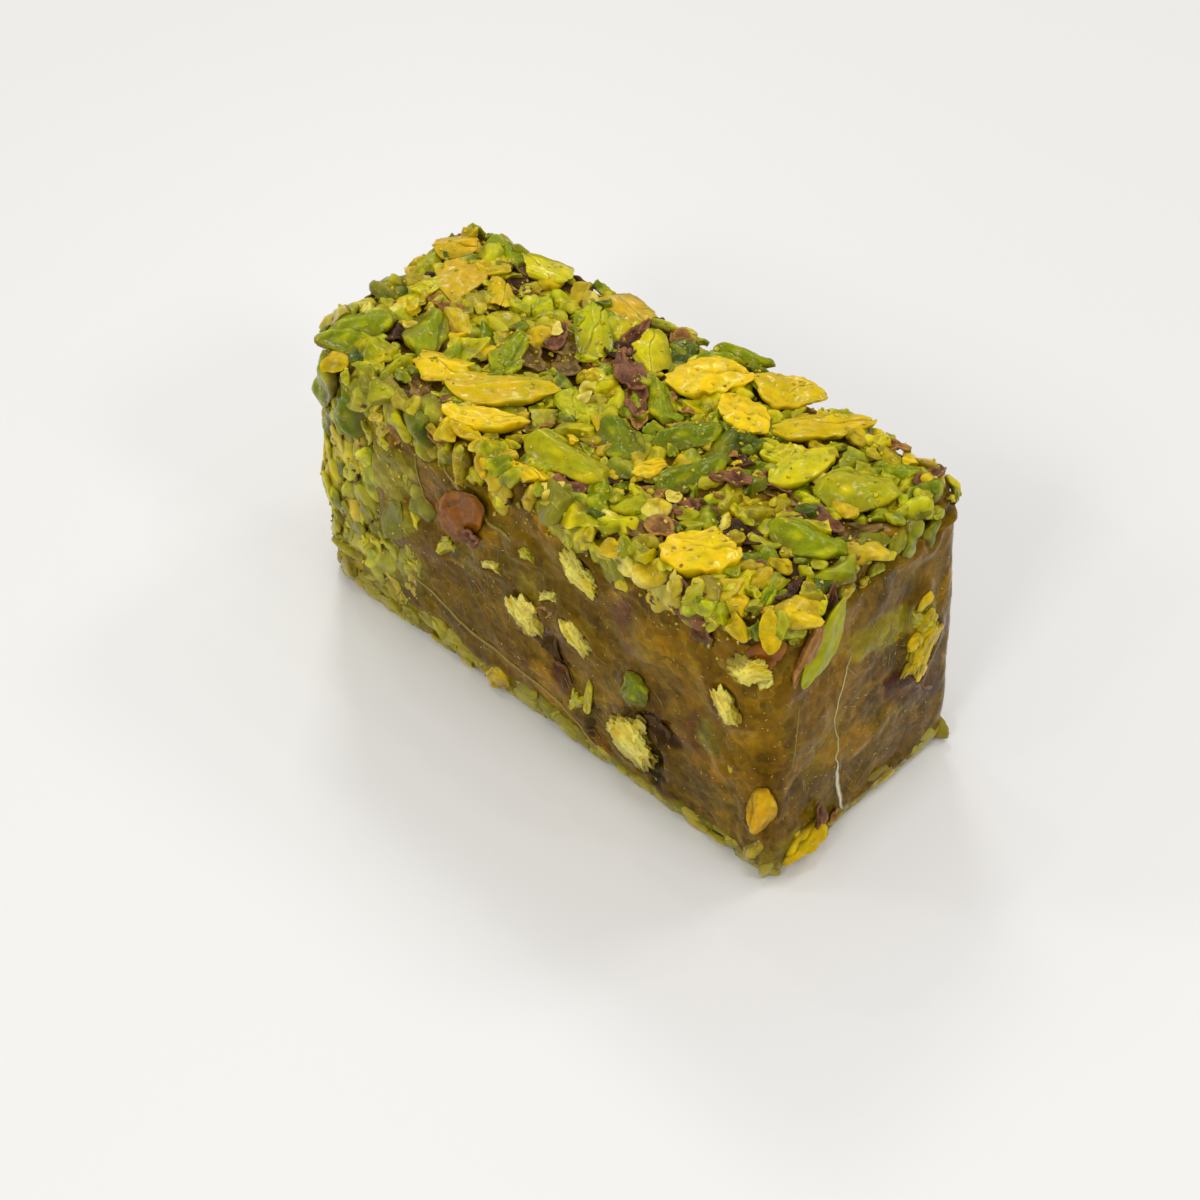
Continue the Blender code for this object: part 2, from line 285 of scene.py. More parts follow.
def facets(points: np.ndarray, size: float, seed: float = 0.0) -> np.ndarray:
    """A number between 0 and 1 for each point, the same all over one facet of about the given size."""
    rows = (points / size + (seed * 5.31, seed * 2.17, seed * 8.93)).tolist()
    return np.array([noise.cell(noise.voronoi(row)[1][0] * 37.0) for row in rows])


def drift(points: np.ndarray, size: float, seed: float = 0.0) -> np.ndarray:
    """A soft push, one row for each point, that varies over the given size."""
    rows = (points / size + (seed * 4.13, seed * 9.71, seed * 2.39)).tolist()
    return np.array([noise.noise_vector(row) for row in rows])


def oval(local: np.ndarray, length: float, width: float) -> np.ndarray:
    """How far out each point lies in an oval of the given length and width, 1 on its rim."""
    return np.sqrt((local[:, 0] / (0.5 * length)) ** 2 + (local[:, 1] / (0.5 * width)) ** 2)


def ramp(values: np.ndarray, low: float, high: float) -> np.ndarray:
    """A smooth rise from 0 at low to 1 at high, or a fall where high is the lower."""
    share = np.clip((values - low) / (high - low), 0.0, 1.0)
    return share * share * (3.0 - 2.0 * share)


def mixed(low: np.ndarray | Colour, high: np.ndarray | Colour, share: np.ndarray) -> np.ndarray:
    """Colours between two others, one row for each share."""
    return np.asarray(low) * (1.0 - share[:, None]) + np.asarray(high) * share[:, None]


# ---------------------------------------------------------------- finishes


@dataclass
class Nodes:
    """Adds texture nodes to a material, and links them."""

    tree: NodeTree

    def put(self, socket: NodeSocket, value: object) -> None:
        """Links an input to an output, or gives it a plain value.

        Args:
            socket: The input.
            value: The output's socket, or the value.
        """
        if isinstance(value, NodeSocket):
            self.tree.links.new(value, socket)
        else:
            socket.default_value = value

    def add(self, kind: str, inputs: dict[str | int, object], **settings: object) -> NodeOutputs:
        """Adds a node.

        Args:
            kind: The node's type.
            inputs: What each input is linked to or set to.
            settings: The node's own settings.

        Returns:
            Its outputs.
        """
        node = self.tree.nodes.new(f"ShaderNode{kind}")
        for name, value in settings.items():
            setattr(node, name, value)
        for name, value in inputs.items():
            self.put(node.inputs[name], value)
        return node.outputs

    def noise(self, places: object, size: float, detail: float) -> object:
        """A noise texture at the given places: its spots' size in millimetres, and how many finer layers it has."""
        return self.add("TexNoise", {"Scale": 1.0 / (size * MM), "Detail": detail, "Vector": places})["Fac"]

    def spread(self, value: object, low: float, high: float, usual: tuple[float, float] = (0.3, 0.7)) -> object:
        """Spreads a value's usual span over the range from low to high."""
        ends = {"From Min": usual[0], "From Max": usual[1], "To Min": low, "To Max": high}
        return self.add("MapRange", {**ends, "Value": value})["Result"]

    def scaled(self, colour: object, share: object) -> object:
        """A colour made lighter or darker by a share."""
        return self.add("VectorMath", {0: colour, "Scale": share}, operation="SCALE")["Vector"]

    def bump(self, height: object, depth: float, under: object = None) -> object:
        """Turns a height into a bump of the given depth in millimetres, over the one under it if there is one."""
        lower = {"Normal": under} if under else {}
        return self.add("Bump", {"Distance": depth * MM, "Height": height, **lower})["Normal"]


@dataclass(frozen=True)
class Finish:
    """A surface finish: how it shines, how light sinks in, and its fine grain.

    The colour comes from the piece's own painted attribute, with a fine mottle over it. On nuts the grain
    runs along each piece, so it is read at the places stored with the paint.
    """

    name: str
    roughness: tuple[float, float] = (0.2, 0.38)
    shine: float = 0.1
    mottle: float = 0.1
    mottle_size: float = 0.7
    along: float = 0.35  # below 1 the grain is drawn out along the piece
    grain_size: float = 0.3
    grain_depth: float = 0.04
    depth: float = 0.25
    light_reach: float = 0.6
    reach_colour: Colour = (1.0, 0.7, 0.1)
    film: float = 0.6
    film_roughness: float = 0.03
    film_bending: float = 1.33  # the film's refractive index
    shine_colour: Colour = (1.0, 0.88, 0.3)
    flakes: tuple[float, ...] = ()  # sizes of the flakes that the surface is built up of
    flake_depth: float = 0.06
    flake_tone: float = 0.2
    rim_colour: Colour = shade(190, 160, 60)
    own_places: bool = True

    def make(self) -> Material:
        """Makes the material.

        Returns:
            A Principled material with its texture nodes.
        """
        made = bpy.data.materials.new(self.name)
        made.use_nodes = True
        nodes = Nodes(made.node_tree)
        places = self._places(nodes)
        mottle = nodes.spread(nodes.noise(places, self.mottle_size, 3.0), 1.0 - self.mottle, 1.0 + self.mottle)
        colour = nodes.scaled(nodes.add("VertexColor", {}, layer_name="tint")["Color"], mottle)
        bump = nodes.bump(nodes.noise(places, self.grain_size, 4.0), self.grain_depth)
        for number, size in enumerate(self.flakes):
            colour, bump = self._flaked(nodes, places, colour, bump, size, 4.0 + number)
        looks = {
            "Base Color": colour,
            "Roughness": nodes.spread(nodes.noise(places, self.mottle_size * 0.7, 2.0), *self.roughness),
            "Normal": bump,
            "Coat Normal": bump,
            "Specular IOR Level": self.shine,
            "Specular Tint": (*self.shine_colour, 1.0),
            "Subsurface Weight": self.depth,
            "Subsurface Scale": self.light_reach * MM,
            "Subsurface Radius": self.reach_colour,
            "Coat Weight": self.film,
            "Coat Roughness": self.film_roughness,
            "Coat IOR": self.film_bending,
        }
        for name, value in looks.items():
            nodes.put(made.node_tree.nodes["Principled BSDF"].inputs[name], value)
        return made

    def _flaked(
        self, nodes: Nodes, places: object, colour: object, bump: object, size: float, patch_size: float
    ) -> tuple[object, object]:
        """Lays soft flakes of uneven tone over the colour and the bump, with pale rims in patches.

        Args:
            nodes: The material's nodes.
            places: The socket with the coordinates.
            colour: The socket with the colour so far.
            bump: The socket with the bump so far.
            size: The flakes' size, in millimetres.
            patch_size: The size of the patches that show rims, in millimetres.

        Returns:
            The sockets with the new colour and bump.
        """
        push = nodes.add("TexNoise", {"Scale": 1.0 / (1.3 * size * MM), "Vector": places})["Color"]
        moved = {0: push, 1: (1.8 * size * MM,) * 3, 2: places}
        cell_inputs = {
            "Scale": 1.0 / (size * MM), "Vector": nodes.add("VectorMath", moved, operation="MULTIPLY_ADD")["Vector"]
        }
        cell = nodes.add("TexVoronoi", cell_inputs)
        tone = nodes.add("SeparateColor", {"Color": cell["Color"]})["Red"]
        tone = nodes.spread(tone, 1.0 - self.flake_tone, 1.0 + self.flake_tone, (0.0, 1.0))
        net = nodes.add("TexVoronoi", cell_inputs, feature="DISTANCE_TO_EDGE")["Distance"]
        line = nodes.spread(net, 1.0, 0.0, (0.0, 0.1))
        shown = nodes.spread(nodes.noise(places, patch_size, 2.0), 0.0, 0.2, (0.54, 0.7))
        share = nodes.add("Math", {0: line, 1: shown}, operation="MULTIPLY")["Value"]
        mixing = {"Factor": share, "A": nodes.scaled(colour, tone), "B": (*self.rim_colour, 1.0)}
        slope = nodes.spread(cell["Distance"], 1.0, 0.0, (0.0, 0.8))
        return (
            nodes.add("Mix", mixing, data_type="RGBA")["Result"],
            nodes.bump(slope, self.flake_depth * size, bump),
        )

    def _places(self, nodes: Nodes) -> object:
        """Adds the coordinates that the grain is read at.

        Args:
            nodes: The material's nodes.

        Returns:
            Their socket, in metres.
        """
        if not self.own_places:
            return nodes.add("TexCoord", {})["Object"]
        stored = nodes.add("Attribute", {}, attribute_name="grain")["Vector"]
        return nodes.add("VectorMath", {0: stored, 1: (self.along * MM, MM, MM)}, operation="MULTIPLY")["Vector"]


JELLY = Finish(
    "jelly", roughness=(0.08, 0.2), shine=0.05, shine_colour=(1.0, 0.8, 0.35), mottle=0.18, mottle_size=0.9,
    grain_size=0.6, grain_depth=0.02, depth=0.85, light_reach=2.0, reach_colour=(1.0, 0.5, 0.1), film=0.13,
    film_roughness=0.03, film_bending=1.28, flakes=(3.2, 1.5), flake_depth=0.028, flake_tone=0.22, own_places=False,
)
THREAD = Finish("film_thread", roughness=(0.15, 0.3), shine=0.3, depth=0.6, light_reach=1.0, own_places=False)
KERNEL = Finish("kernel")
SIDE = Finish("side_kernel", film=0.2)
CHIP = Finish("chip", roughness=(0.2, 0.42), mottle=0.16, mottle_size=0.6, along=0.6, grain_depth=0.06)
PRESSED = Finish("pressed_nut", roughness=(0.16, 0.3), mottle=0.14, film=0.4, grain_depth=0.03)
SKIN = Finish(
    "torn_skin", roughness=(0.3, 0.55), mottle=0.3, mottle_size=0.5, grain_size=0.3, grain_depth=0.1, depth=0.1,
    reach_colour=(1.0, 0.4, 0.2), film=0.35,
)


# ---------------------------------------------------------------- forms that are copied


@dataclass
class Form:
    """One modelled nut piece, in millimetres, lying on its underside with its narrow tip to +X."""

    points: np.ndarray
    faces: np.ndarray
    outer: np.ndarray  # 1 on the outer side, 0 where it is broken or split open
    edge: np.ndarray  # above 0 on the edges, below 0 in the furrows

    @classmethod
    def take(cls, piece: Object, outer: Callable[[np.ndarray], np.ndarray]) -> "Form":
        """Takes the form from a modelled piece, and clears the piece away.

        Args:
            piece: The modelled piece.
            outer: Gives how much of the outer side shows at each point.

        Returns:
            The form.
        """
        modify(piece, "TRIANGULATE")
        mesh = piece.data
        points = read_points(mesh)
        corners = np.empty(len(mesh.loops), np.int32)
        mesh.loops.foreach_get("vertex_index", corners)
        ends = np.empty(len(mesh.edges) * 2, np.int32)
        mesh.edges.foreach_get("vertices", ends)
        form = cls(points, corners.reshape(-1, 3), np.clip(outer(points), 0.0, 1.0), np.zeros(len(points)))
        form.edge = form.edges(ends.reshape(-1, 2), read_points(mesh, "normal"))
        bpy.data.objects.remove(piece)
        bpy.data.meshes.remove(mesh)
        return form

    def edges(self, ends: np.ndarray, normals: np.ndarray) -> np.ndarray:
        """How sharp the form is at each point.

        Args:
            ends: The two points of each edge.
            normals: Each point's normal.

        Returns:
            One number for each point, above 0 where it stands out.
        """

        def mean(values: np.ndarray) -> np.ndarray:
            """Takes the mean over each point's neighbours.

            Args:
                values: One row for each point.

            Returns:
                The means.
            """
            total, count = np.zeros_like(values), np.zeros(len(values))
            for here, there in ((0, 1), (1, 0)):
                np.add.at(total, ends[:, here], values[ends[:, there]])
                np.add.at(count, ends[:, here], 1.0)
            return total / np.maximum(count, 1.0).reshape((-1,) + (1,) * (values.ndim - 1))

        sharp = np.sum((self.points - mean(self.points)) * normals, axis=1)
        sharp = 0.5 * (sharp + mean(sharp))
        sharp -= np.median(sharp)
        return np.clip(sharp / max(0.07, float(np.percentile(np.abs(sharp), 92))), -1.0, 1.0)

    @property
    def size(self) -> np.ndarray:
        """Length, width and height."""
        return self.points.max(0) - self.points.min(0)

    def varied(self, seed: float, amount: float) -> "Form":
        """The same form, bent and swollen a little.

        Args:
            seed: Another seed is another variation.
            amount: How far a point may move, as a share of the form's width.

        Returns:
            The new form.
        """
        width = self.size[1]
        moved = self.points + drift(self.points, width * 0.9, seed) * width * amount
        moved += drift(self.points, width * 0.35, seed + 9.0) * width * amount * 0.35
        return Form(moved, self.faces, self.outer, self.edge)

    def thinned(self, faces: int) -> "Form":
        """The same form in fewer triangles.

        Args:
            faces: How many triangles it may keep.

        Returns:
            The lighter form.
        """
        mesh = bpy.data.meshes.new("thinned")
        mesh.from_pydata(self.points.tolist(), [], self.faces.tolist())
        piece = linked("thinned", mesh)
        paint(mesh, np.repeat(self.outer[:, None], 3, axis=1))
        modify(piece, "DECIMATE", ratio=min(1.0, faces / len(self.faces)))
        kept = np.empty(len(piece.data.vertices) * 4, np.float32)
        piece.data.color_attributes["tint"].data.foreach_get("color", kept)
        return Form.take(piece, lambda points: kept.reshape(-1, 4)[:, 0].astype(float))


@dataclass
class FormMaker:
    """Models every kind of nut piece once."""

    FLAT, SMALL, LUMP, BIT, SHARD = 750, 1400, 420, 230, 200  # how many triangles the lighter forms keep

    length: float = 14.0
    detail: float = 0.3

    def _almond(self, width: float, height: float, scale: float = 1.0) -> Object:
        """Starts a kernel: a long ball with pointed tips along X, narrower at +X.

        Args:
            width: Its width.
            height: Its height.
            scale: Its length, as a share of a whole kernel's.

        Returns:
            The piece.
        """
        radius = 0.5 * self.length * scale
        piece = start(
            bpy.ops.mesh.primitive_uv_sphere_add, segments=28, ring_count=18, radius=radius,
            rotation=(0.0, math.radians(90.0), 0.0),
        )
        bpy.ops.object.transform_apply(location=False, rotation=True, scale=False)
        edit(piece, bpy.ops.transform.resize, value=(1.0, 0.5 * width / radius, 0.5 * height / radius))
        points = read_points(piece.data)
        along = points[:, 0] / radius
        points[:, 1:] *= ((1.06 - 0.2 * along + 0.1 * (1.0 - along**2)) * (1.0 - 0.25 * along**6))[:, None]
        points[:, 1:] *= (1.0 - 0.5 * np.clip(along, 0.0, 1.0) ** 4)[:, None]
        write_points(piece.data, points)
        return piece

    def _cut(self, piece: Object, place: Sequence[float], normal: Sequence[float]) -> None:
        """Cuts a piece off on the normal's side, and closes the cut."""
        edit(piece, bpy.ops.mesh.bisect, plane_co=place, plane_no=normal, use_fill=True, clear_outer=True)

    def half(self, seed: float, torn: float) -> Form:
        """A split kernel with its flat face up, a little swollen inside its rim.

        Args:
            seed: Another seed is another half.
            torn: How ragged its edge is, and how deep its crack, from 0 to 1.

        Returns:
            The form.
        """
        piece = self._almond(6.4, 5.4)
        self._cut(piece, (0.0, 0.0, 0.2), (0.0, 0.06, 1.0))
        if torn > 0.5:
            self._cut(piece, (5.2 - seed, 0.0, 0.0), (1.0, 0.5, 0.2))
        modify(piece, "REMESH", mode="VOXEL", voxel_size=self.detail * 0.8)
        body = read_points(piece.data)
        reach = oval(body, 14.0, 6.8)
        edge = 0.5 * cloud(body * (1.0, 1.0, 0.3), 1.5, seed) + 0.16 * cloud(body * (1.0, 1.0, 0.3), 0.8, seed + 4.0)
        way = body[:, :2] / np.maximum(0.5, np.linalg.norm(body[:, :2], axis=1))[:, None]
        body[:, :2] += way * ((0.25 + torn) * edge * ramp(reach, 0.55, 0.95))[:, None]
        line = np.abs(body[:, 1] - 0.5 * body[:, 0] * math.sin(seed * 2.0) + 0.8 * cloud(body, 2.6, seed))
        swell = 0.5 * (1.0 - np.minimum(reach, 1.0) ** 2) + 0.34 * cloud(body * (0.6, 1.0, 1.0), 1.9, seed + 2.0)
        swell += 0.1 * cloud(body, 0.6, 3.0) - torn * 0.8 * ramp(line, 0.34, 0.0) * ramp(body[:, 0], -4.0, 1.0)
        body[:, 2] += ramp(body[:, 2], -0.3, 0.1) * swell
        body[:, 1] += 0.016 * body[:, 0] ** 2
        write_points(piece.data, body)
        modify(piece, "SMOOTH", factor=0.5, iterations=1)
        roughen(piece, 3.2, 0.4)
        return Form.take(piece, lambda points: ramp(points[:, 2] + 0.2 * cloud(points, 1.6, 2.0), 0.0, -0.7))

    def whole(self) -> Form:
        """A kernel with its outer side up: soft flats, faint ribs and a seam along its flank.

        Returns:
            The form.
        """
        piece = self._almond(6.2, 5.2)
        self._cut(piece, (0.0, 0.0, -1.2), (0.0, 0.0, -1.0))
        self._cut(piece, (0.6, 0.0, 2.0), (0.12, 0.5, 1.0))
        self._cut(piece, (-1.2, 0.0, 2.0), (-0.16, -0.6, 1.0))
        self._cut(piece, (5.4, 0.0, 0.6), (1.0, 0.35, 0.5))
        modify(piece, "REMESH", mode="VOXEL", voxel_size=self.detail)
        modify(piece, "SMOOTH", factor=0.5, iterations=3)
        points = read_points(piece.data)
        turn = np.arctan2(points[:, 1], points[:, 2] + 1.0)
        ribs = np.sin(turn * 9.0 + 2.6 * cloud(points, 3.4, 3.0)) * ramp(np.abs(points[:, 0]), 7.0, 4.0)
        seam = ramp(np.abs(turn - 0.9 + 0.14 * cloud(points, 3.0, 5.0)), 0.14, 0.0)
        points += read_points(piece.data, "normal") * (0.05 * ribs - 0.34 * seam)[:, None]
        write_points(piece.data, points)
        roughen(piece, 2.6, 0.8)
        roughen(piece, 0.9, 0.2)
        return Form.take(piece, lambda points: ramp(cloud(points * (0.5, 1.0, 1.0), 2.4, 6.0), 0.5, 0.1))

    def broken(self, seed: float) -> Form:
        """A chunk snapped off a kernel, with flat and granular breaks and part of its outer side.

        Args:
            seed: Another seed is another chunk.

        Returns:
            The form.
        """
        draw = np.random.default_rng(int(seed * 10.0))
        piece = self._almond(6.4, 5.4, 0.9)
        for side in (1.0, -1.0):
            reach = draw.uniform(2.4, 3.6)
            lean = draw.uniform(-0.7, 0.7, 2)
            self._cut(piece, (side * reach, 0.0, 0.0), (side, *lean))
        for way in (1.0, -1.0):
            self._cut(piece, (0.0, 0.0, draw.uniform(1.0, 1.7)), (draw.uniform(-0.3, 0.3), way * 0.45, 1.0))
        modify(piece, "REMESH", mode="VOXEL", voxel_size=self.detail * 0.75)
        body = read_points(piece.data)
        skin = np.sqrt((body[:, 0] / 6.3) ** 2 + (body[:, 1] / 3.3) ** 2 + (body[:, 2] / 2.8) ** 2)
        outer = ramp(skin, 0.82, 0.95)
        line = np.abs(body[:, 1] + 0.6 * body[:, 0] * math.sin(seed) + 0.6 * cloud(body, 2.5, seed))
        grain = 0.14 * cloud(body, 0.9, seed) + 0.3 * cloud(body, 2.4, seed + 1.0) - 0.5 * ramp(line, 0.24, 0.0)
        body += read_points(piece.data, "normal") * (grain * (1.0 - 0.6 * outer))[:, None]
        write_points(piece.data, body)
        return Form.take(piece, lambda points: outer)

    def crumbly(self, seed: float) -> Form:
        """A pale broken piece with ridges along it and ragged ends.

        Args:
            seed: Another seed is another piece.

        Returns:
            The form.
        """
        draw = np.random.default_rng(int(seed * 10.0) + 70)
        piece = start(bpy.ops.mesh.primitive_cube_add, size=1.0)
        edit(piece, bpy.ops.transform.resize, value=(8.0, 6.4, 4.4))
        edit(piece, bpy.ops.mesh.bevel, offset=1.3, segments=3)
        for side in (1.0, -1.0):
            self._cut(piece, (side * 3.4, 0.0, 0.0), (side, *draw.uniform(-0.6, 0.6, 2)))
            self._cut(piece, (0.0, side * 2.3, 0.6), (draw.uniform(-0.4, 0.4), side, 0.7))
        modify(piece, "REMESH", mode="VOXEL", voxel_size=self.detail * 0.75)
        body = read_points(piece.data)
        body += drift(body, 5.0, seed) * 1.2
        knobs = np.sqrt(cells(body * (0.7, 1.0, 1.0) + drift(body, 1.5, seed) * 0.8, 1.5, seed))
        ridges = 0.5 * np.abs(cloud(body * (0.5, 1.0, 1.0), 1.8, seed)) + 0.14 * cloud(body, 0.6, seed + 2.0)
        body += read_points(piece.data, "normal") * (0.34 * knobs - ridges)[:, None]
        torn = 0.9 * cloud(body * (1.0, 1.0, 0.3), 1.3, seed + 4.0) + 0.5 * cloud(body, 0.6, seed + 5.0)
        body[:, 0] += np.sign(body[:, 0]) * ramp(np.abs(body[:, 0]), 1.8, 3.8) * torn
        body[:, 1] += np.sign(body[:, 1]) * ramp(np.abs(body[:, 1]), 1.4, 2.8) * torn * 0.8
        write_points(piece.data, body)
        return Form.take(piece, lambda points: ramp(cloud(points * (0.4, 1.0, 1.0), 2.0, seed), -0.1, 0.5))

    def chip(self, seed: float, faces: int) -> Form:
        """A small chopped bit: a ball with flats cut on it, some of it smooth outer side.

        Args:
            seed: Another seed is another bit.
            faces: How many triangles it may keep.

        Returns:
            The form.
        """
        draw = np.random.default_rng(int(seed * 10.0) + 500)
        piece = start(bpy.ops.mesh.primitive_ico_sphere_add, subdivisions=4, radius=2.0)
        edit(piece, bpy.ops.transform.resize, value=(1.0, draw.uniform(0.6, 0.85), draw.uniform(0.42, 0.6)))
        for _ in range(4):
            way = draw.normal(size=3) * (1.0, 1.0, 0.8)
            way /= np.linalg.norm(way)
            self._cut(piece, tuple(way * draw.uniform(0.5, 0.95)), tuple(way))
        return self._bit(piece, seed, faces, 0.3, 0.12)

    def lump(self, seed: float, faces: int) -> Form:
        """A knobbly bit: a few balls grown together, flat underneath.

        Args:
            seed: Another seed is another bit.
            faces: How many triangles it may keep.

        Returns:
            The form.
        """
        draw = np.random.default_rng(int(seed * 10.0) + 900)
        piece = start(bpy.ops.mesh.primitive_ico_sphere_add, subdivisions=3, radius=1.3)
        with editing(piece):
            for _ in range(3):
                bpy.ops.mesh.primitive_ico_sphere_add(
                    subdivisions=3, radius=draw.uniform(0.8, 1.15),
                    location=(draw.uniform(-1.4, 1.4), draw.uniform(-1.0, 1.0), draw.uniform(0.0, 0.6)),
                )
        return self._bit(piece, seed, faces, 0.4, 0.14)

    def shard(self, seed: float, faces: int) -> Form:
        """A thin broken slice with one thick side.

        Args:
            seed: Another seed is another slice.
            faces: How many triangles it may keep.

        Returns:
            The form.
        """
        draw = np.random.default_rng(int(seed * 10.0) + 1300)
        piece = start(bpy.ops.mesh.primitive_cylinder_add, vertices=9, radius=1.7, depth=1.1)
        edit(piece, bpy.ops.transform.resize, value=(1.3, 0.8, 1.0))
        self._cut(piece, (draw.uniform(0.6, 1.2), 0.0, 0.0), (1.0, draw.uniform(-0.9, 0.9), 0.2))
        self._cut(piece, (0.0, draw.uniform(0.3, 0.7), 0.1), (draw.uniform(-0.5, 0.5), 1.0, 0.7))
        return self._bit(piece, seed, faces, 0.5, 0.14)

    def _bit(self, piece: Object, seed: float, faces: int, push: float, grain: float) -> Form:
        """Gives a small bit an even mesh and an uneven face, and thins it.

        Args:
            piece: The piece so far.
            seed: Its seed.
            faces: How many triangles it may keep.
            push: How far it is pushed out of true.
            grain: The height of its fine bumps.

        Returns:
            The form.
        """
        modify(piece, "REMESH", mode="VOXEL", voxel_size=0.15)
        body = read_points(piece.data)
        outer = ramp(cloud(body, 2.6, seed + 3.0), -0.2, 0.05)
        body += drift(body, 1.7, seed) * push
        body += read_points(piece.data, "normal") * (grain * cloud(body, 0.7, seed))[:, None]
        write_points(piece.data, body)
        return Form.take(piece, lambda points: outer).thinned(faces)

    def flake(self, seed: float) -> Form:
        """A thin curled and wrinkled piece of skin.

        Args:
            seed: Another seed is another piece.

        Returns:
            The form.
        """
        piece = start(bpy.ops.mesh.primitive_grid_add, x_subdivisions=16, y_subdivisions=8, size=1.0)
        edit(piece, bpy.ops.transform.resize, value=(5.0, 3.0, 1.0))
        body = read_points(piece.data)
        body[:, 1] *= ramp(np.abs(body[:, 0]), 3.2, 0.8) * 0.75 + 0.25
        wrinkles = np.abs(cloud(body * (0.35, 1.0, 1.0), 0.7, seed)) * 0.5
        body[:, 2] = 0.14 * body[:, 1] ** 2 + 0.04 * body[:, 0] ** 2 + wrinkles
        body += drift(body, 1.8, seed) * (0.6, 0.6, 0.9)
        write_points(piece.data, body)
        modify(piece, "SOLIDIFY", thickness=0.3, offset=-1.0)
        return Form.take(piece, lambda points: ramp(cloud(points * (0.5, 1.0, 1.0), 1.0, seed), -0.4, 0.4))

    def crumb(self, seed: float) -> Form:
        """The smallest bits: a little block with its edges knocked off.

        Args:
            seed: Another seed is another block.

        Returns:
            The form.
        """
        piece = start(bpy.ops.mesh.primitive_cube_add, size=1.0)
        edit(piece, bpy.ops.mesh.bevel, offset=0.24, segments=1)
        body = read_points(piece.data)
        write_points(piece.data, body + drift(body, 0.6, seed) * 0.45)
        return Form.take(piece, lambda points: ramp(points[:, 2], -0.1, 0.2))

    def every(self) -> dict[str, Form]:
        """Models them all.

        Returns:
            The forms, by name.
        """
        forms = {f"half_{index}": self.half(float(index), torn) for index, torn in enumerate((0.0, 0.45, 0.9))}
        forms["whole"] = self.whole()
        forms |= {f"crumbly_{index}": self.crumbly(float(index + 1)) for index in range(3)}
        forms |= {f"broken_{index}": self.broken(float(index + 1)) for index in range(3)}
        forms |= {f"flat_{name}": forms[name].thinned(self.FLAT) for name in ("whole", "half_0", "half_1", "half_2")}
        forms |= {f"small_{name}": forms[name].thinned(self.SMALL) for name in list(forms) if "flat" not in name}
        forms |= {f"lump_{index}": self.lump(float(index), self.LUMP) for index in range(4)}
        forms |= {f"bit_{index}": self.chip(float(index), self.BIT) for index in range(10)}
        forms |= {f"bit_{index + 10}": self.lump(float(index + 10), self.BIT) for index in range(6)}
        forms |= {f"bit_{index + 16}": self.shard(float(index), self.SHARD) for index in range(6)}
        forms |= {f"flake_{index}": self.flake(float(index)) for index in range(4)}
        forms |= {f"crumb_{index}": self.crumb(float(index)) for index in range(5)}
        return forms


# ---------------------------------------------------------------- where pieces lie


@dataclass
class Seat:
    """Where a piece lies: its middle, its directions along, across and up, and its size, in millimetres.

    The bed is the height of the block's face above the piece's underside.
    """

    place: np.ndarray
    axes: np.ndarray
    size: np.ndarray
    bed: float = 0.0

    @classmethod
    def of_node(cls, name: str, outward: Callable[[np.ndarray], np.ndarray]) -> "Seat":
        """Reads a kernel's seat from its solid.

        Its largest flat side gives the way up. The long direction is the one its points spread most along,
        towards the narrower tip.

        Args:
            name: The solid's name.
            outward: Gives the way out of the block at a place.

        Returns:
            The seat.
        """
        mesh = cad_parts[name].data
        mesh.calc_loop_triangles()
        points = read_points(mesh) / MM
        corners = np.array([triangle.vertices[:] for triangle in mesh.loop_triangles])
        a, b, c = (points[corners[:, index]] for index in range(3))
        normals = np.cross(b - a, c - a)
        areas = np.linalg.norm(normals, axis=1)
        units = normals / np.maximum(areas, 1e-9)[:, None]
        totals = [areas[(units @ unit) > 0.9999].sum() for unit in units]
        up = units[int(np.argmax(totals))]
        up = up * math.copysign(1.0, float(up @ outward(points.mean(0))))
        flat = points - np.outer(points @ up, up)
        middle = flat.mean(0)
        along = np.linalg.svd(flat - middle)[2][0]
        reach, side = (flat - middle) @ along, np.cross(up, along)
        spread = np.abs((flat - middle) @ side)
        if spread[reach > 0.0].mean() > spread[reach < 0.0].mean():
            along, side = -along, -side
        axes = np.array([along, side, up])
        local = points @ axes.T
        low, high = local.min(0), local.max(0)
        centre = np.array([*(0.5 * (low + high))[:2], low[2]])
        return cls(centre @ axes, axes, high - low)

    def resized(self, shares: Sequence[float]) -> "Seat":
        """The same seat for a piece of other sizes, as shares of its length, width and height."""
        return Seat(self.place, self.axes, self.size * shares, self.bed)

    def sunk(self, share: float) -> "Seat":
        """The same seat, pressed in without lowering its top.

        Args:
            share: How far, as a share of its height.

        Returns:
            The new seat.
        """
        depth = self.size[2] * share
        size = self.size + (0.0, 0.0, depth)
        return Seat(self.place - self.axes[2] * depth, self.axes, size, self.bed + depth)


@dataclass
class Footprints:
    """Where pieces lie already, so that the next ones keep clear and the jelly gives way."""

    REACH = 4.0  # mm, how far off along a piece's own height its footprint holds

    seats: list[Seat] = field(default_factory=list)

    def clear(self, points: np.ndarray) -> np.ndarray:
        """How far each point lies outside the nearest piece.

        Args:
            points: One row for each point.

        Returns:
            The distances in millimetres, below 0 inside a piece.
        """
        least = np.full(len(points), AWAY)
        for seat in self.seats:
            local = (points - seat.place) @ seat.axes.T
            away = (oval(local, *seat.size[:2]) - 1.0) * 0.5 * min(seat.size[:2])
            least = np.where(np.abs(local[:, 2]) < self.REACH, np.minimum(least, away), least)
        return least


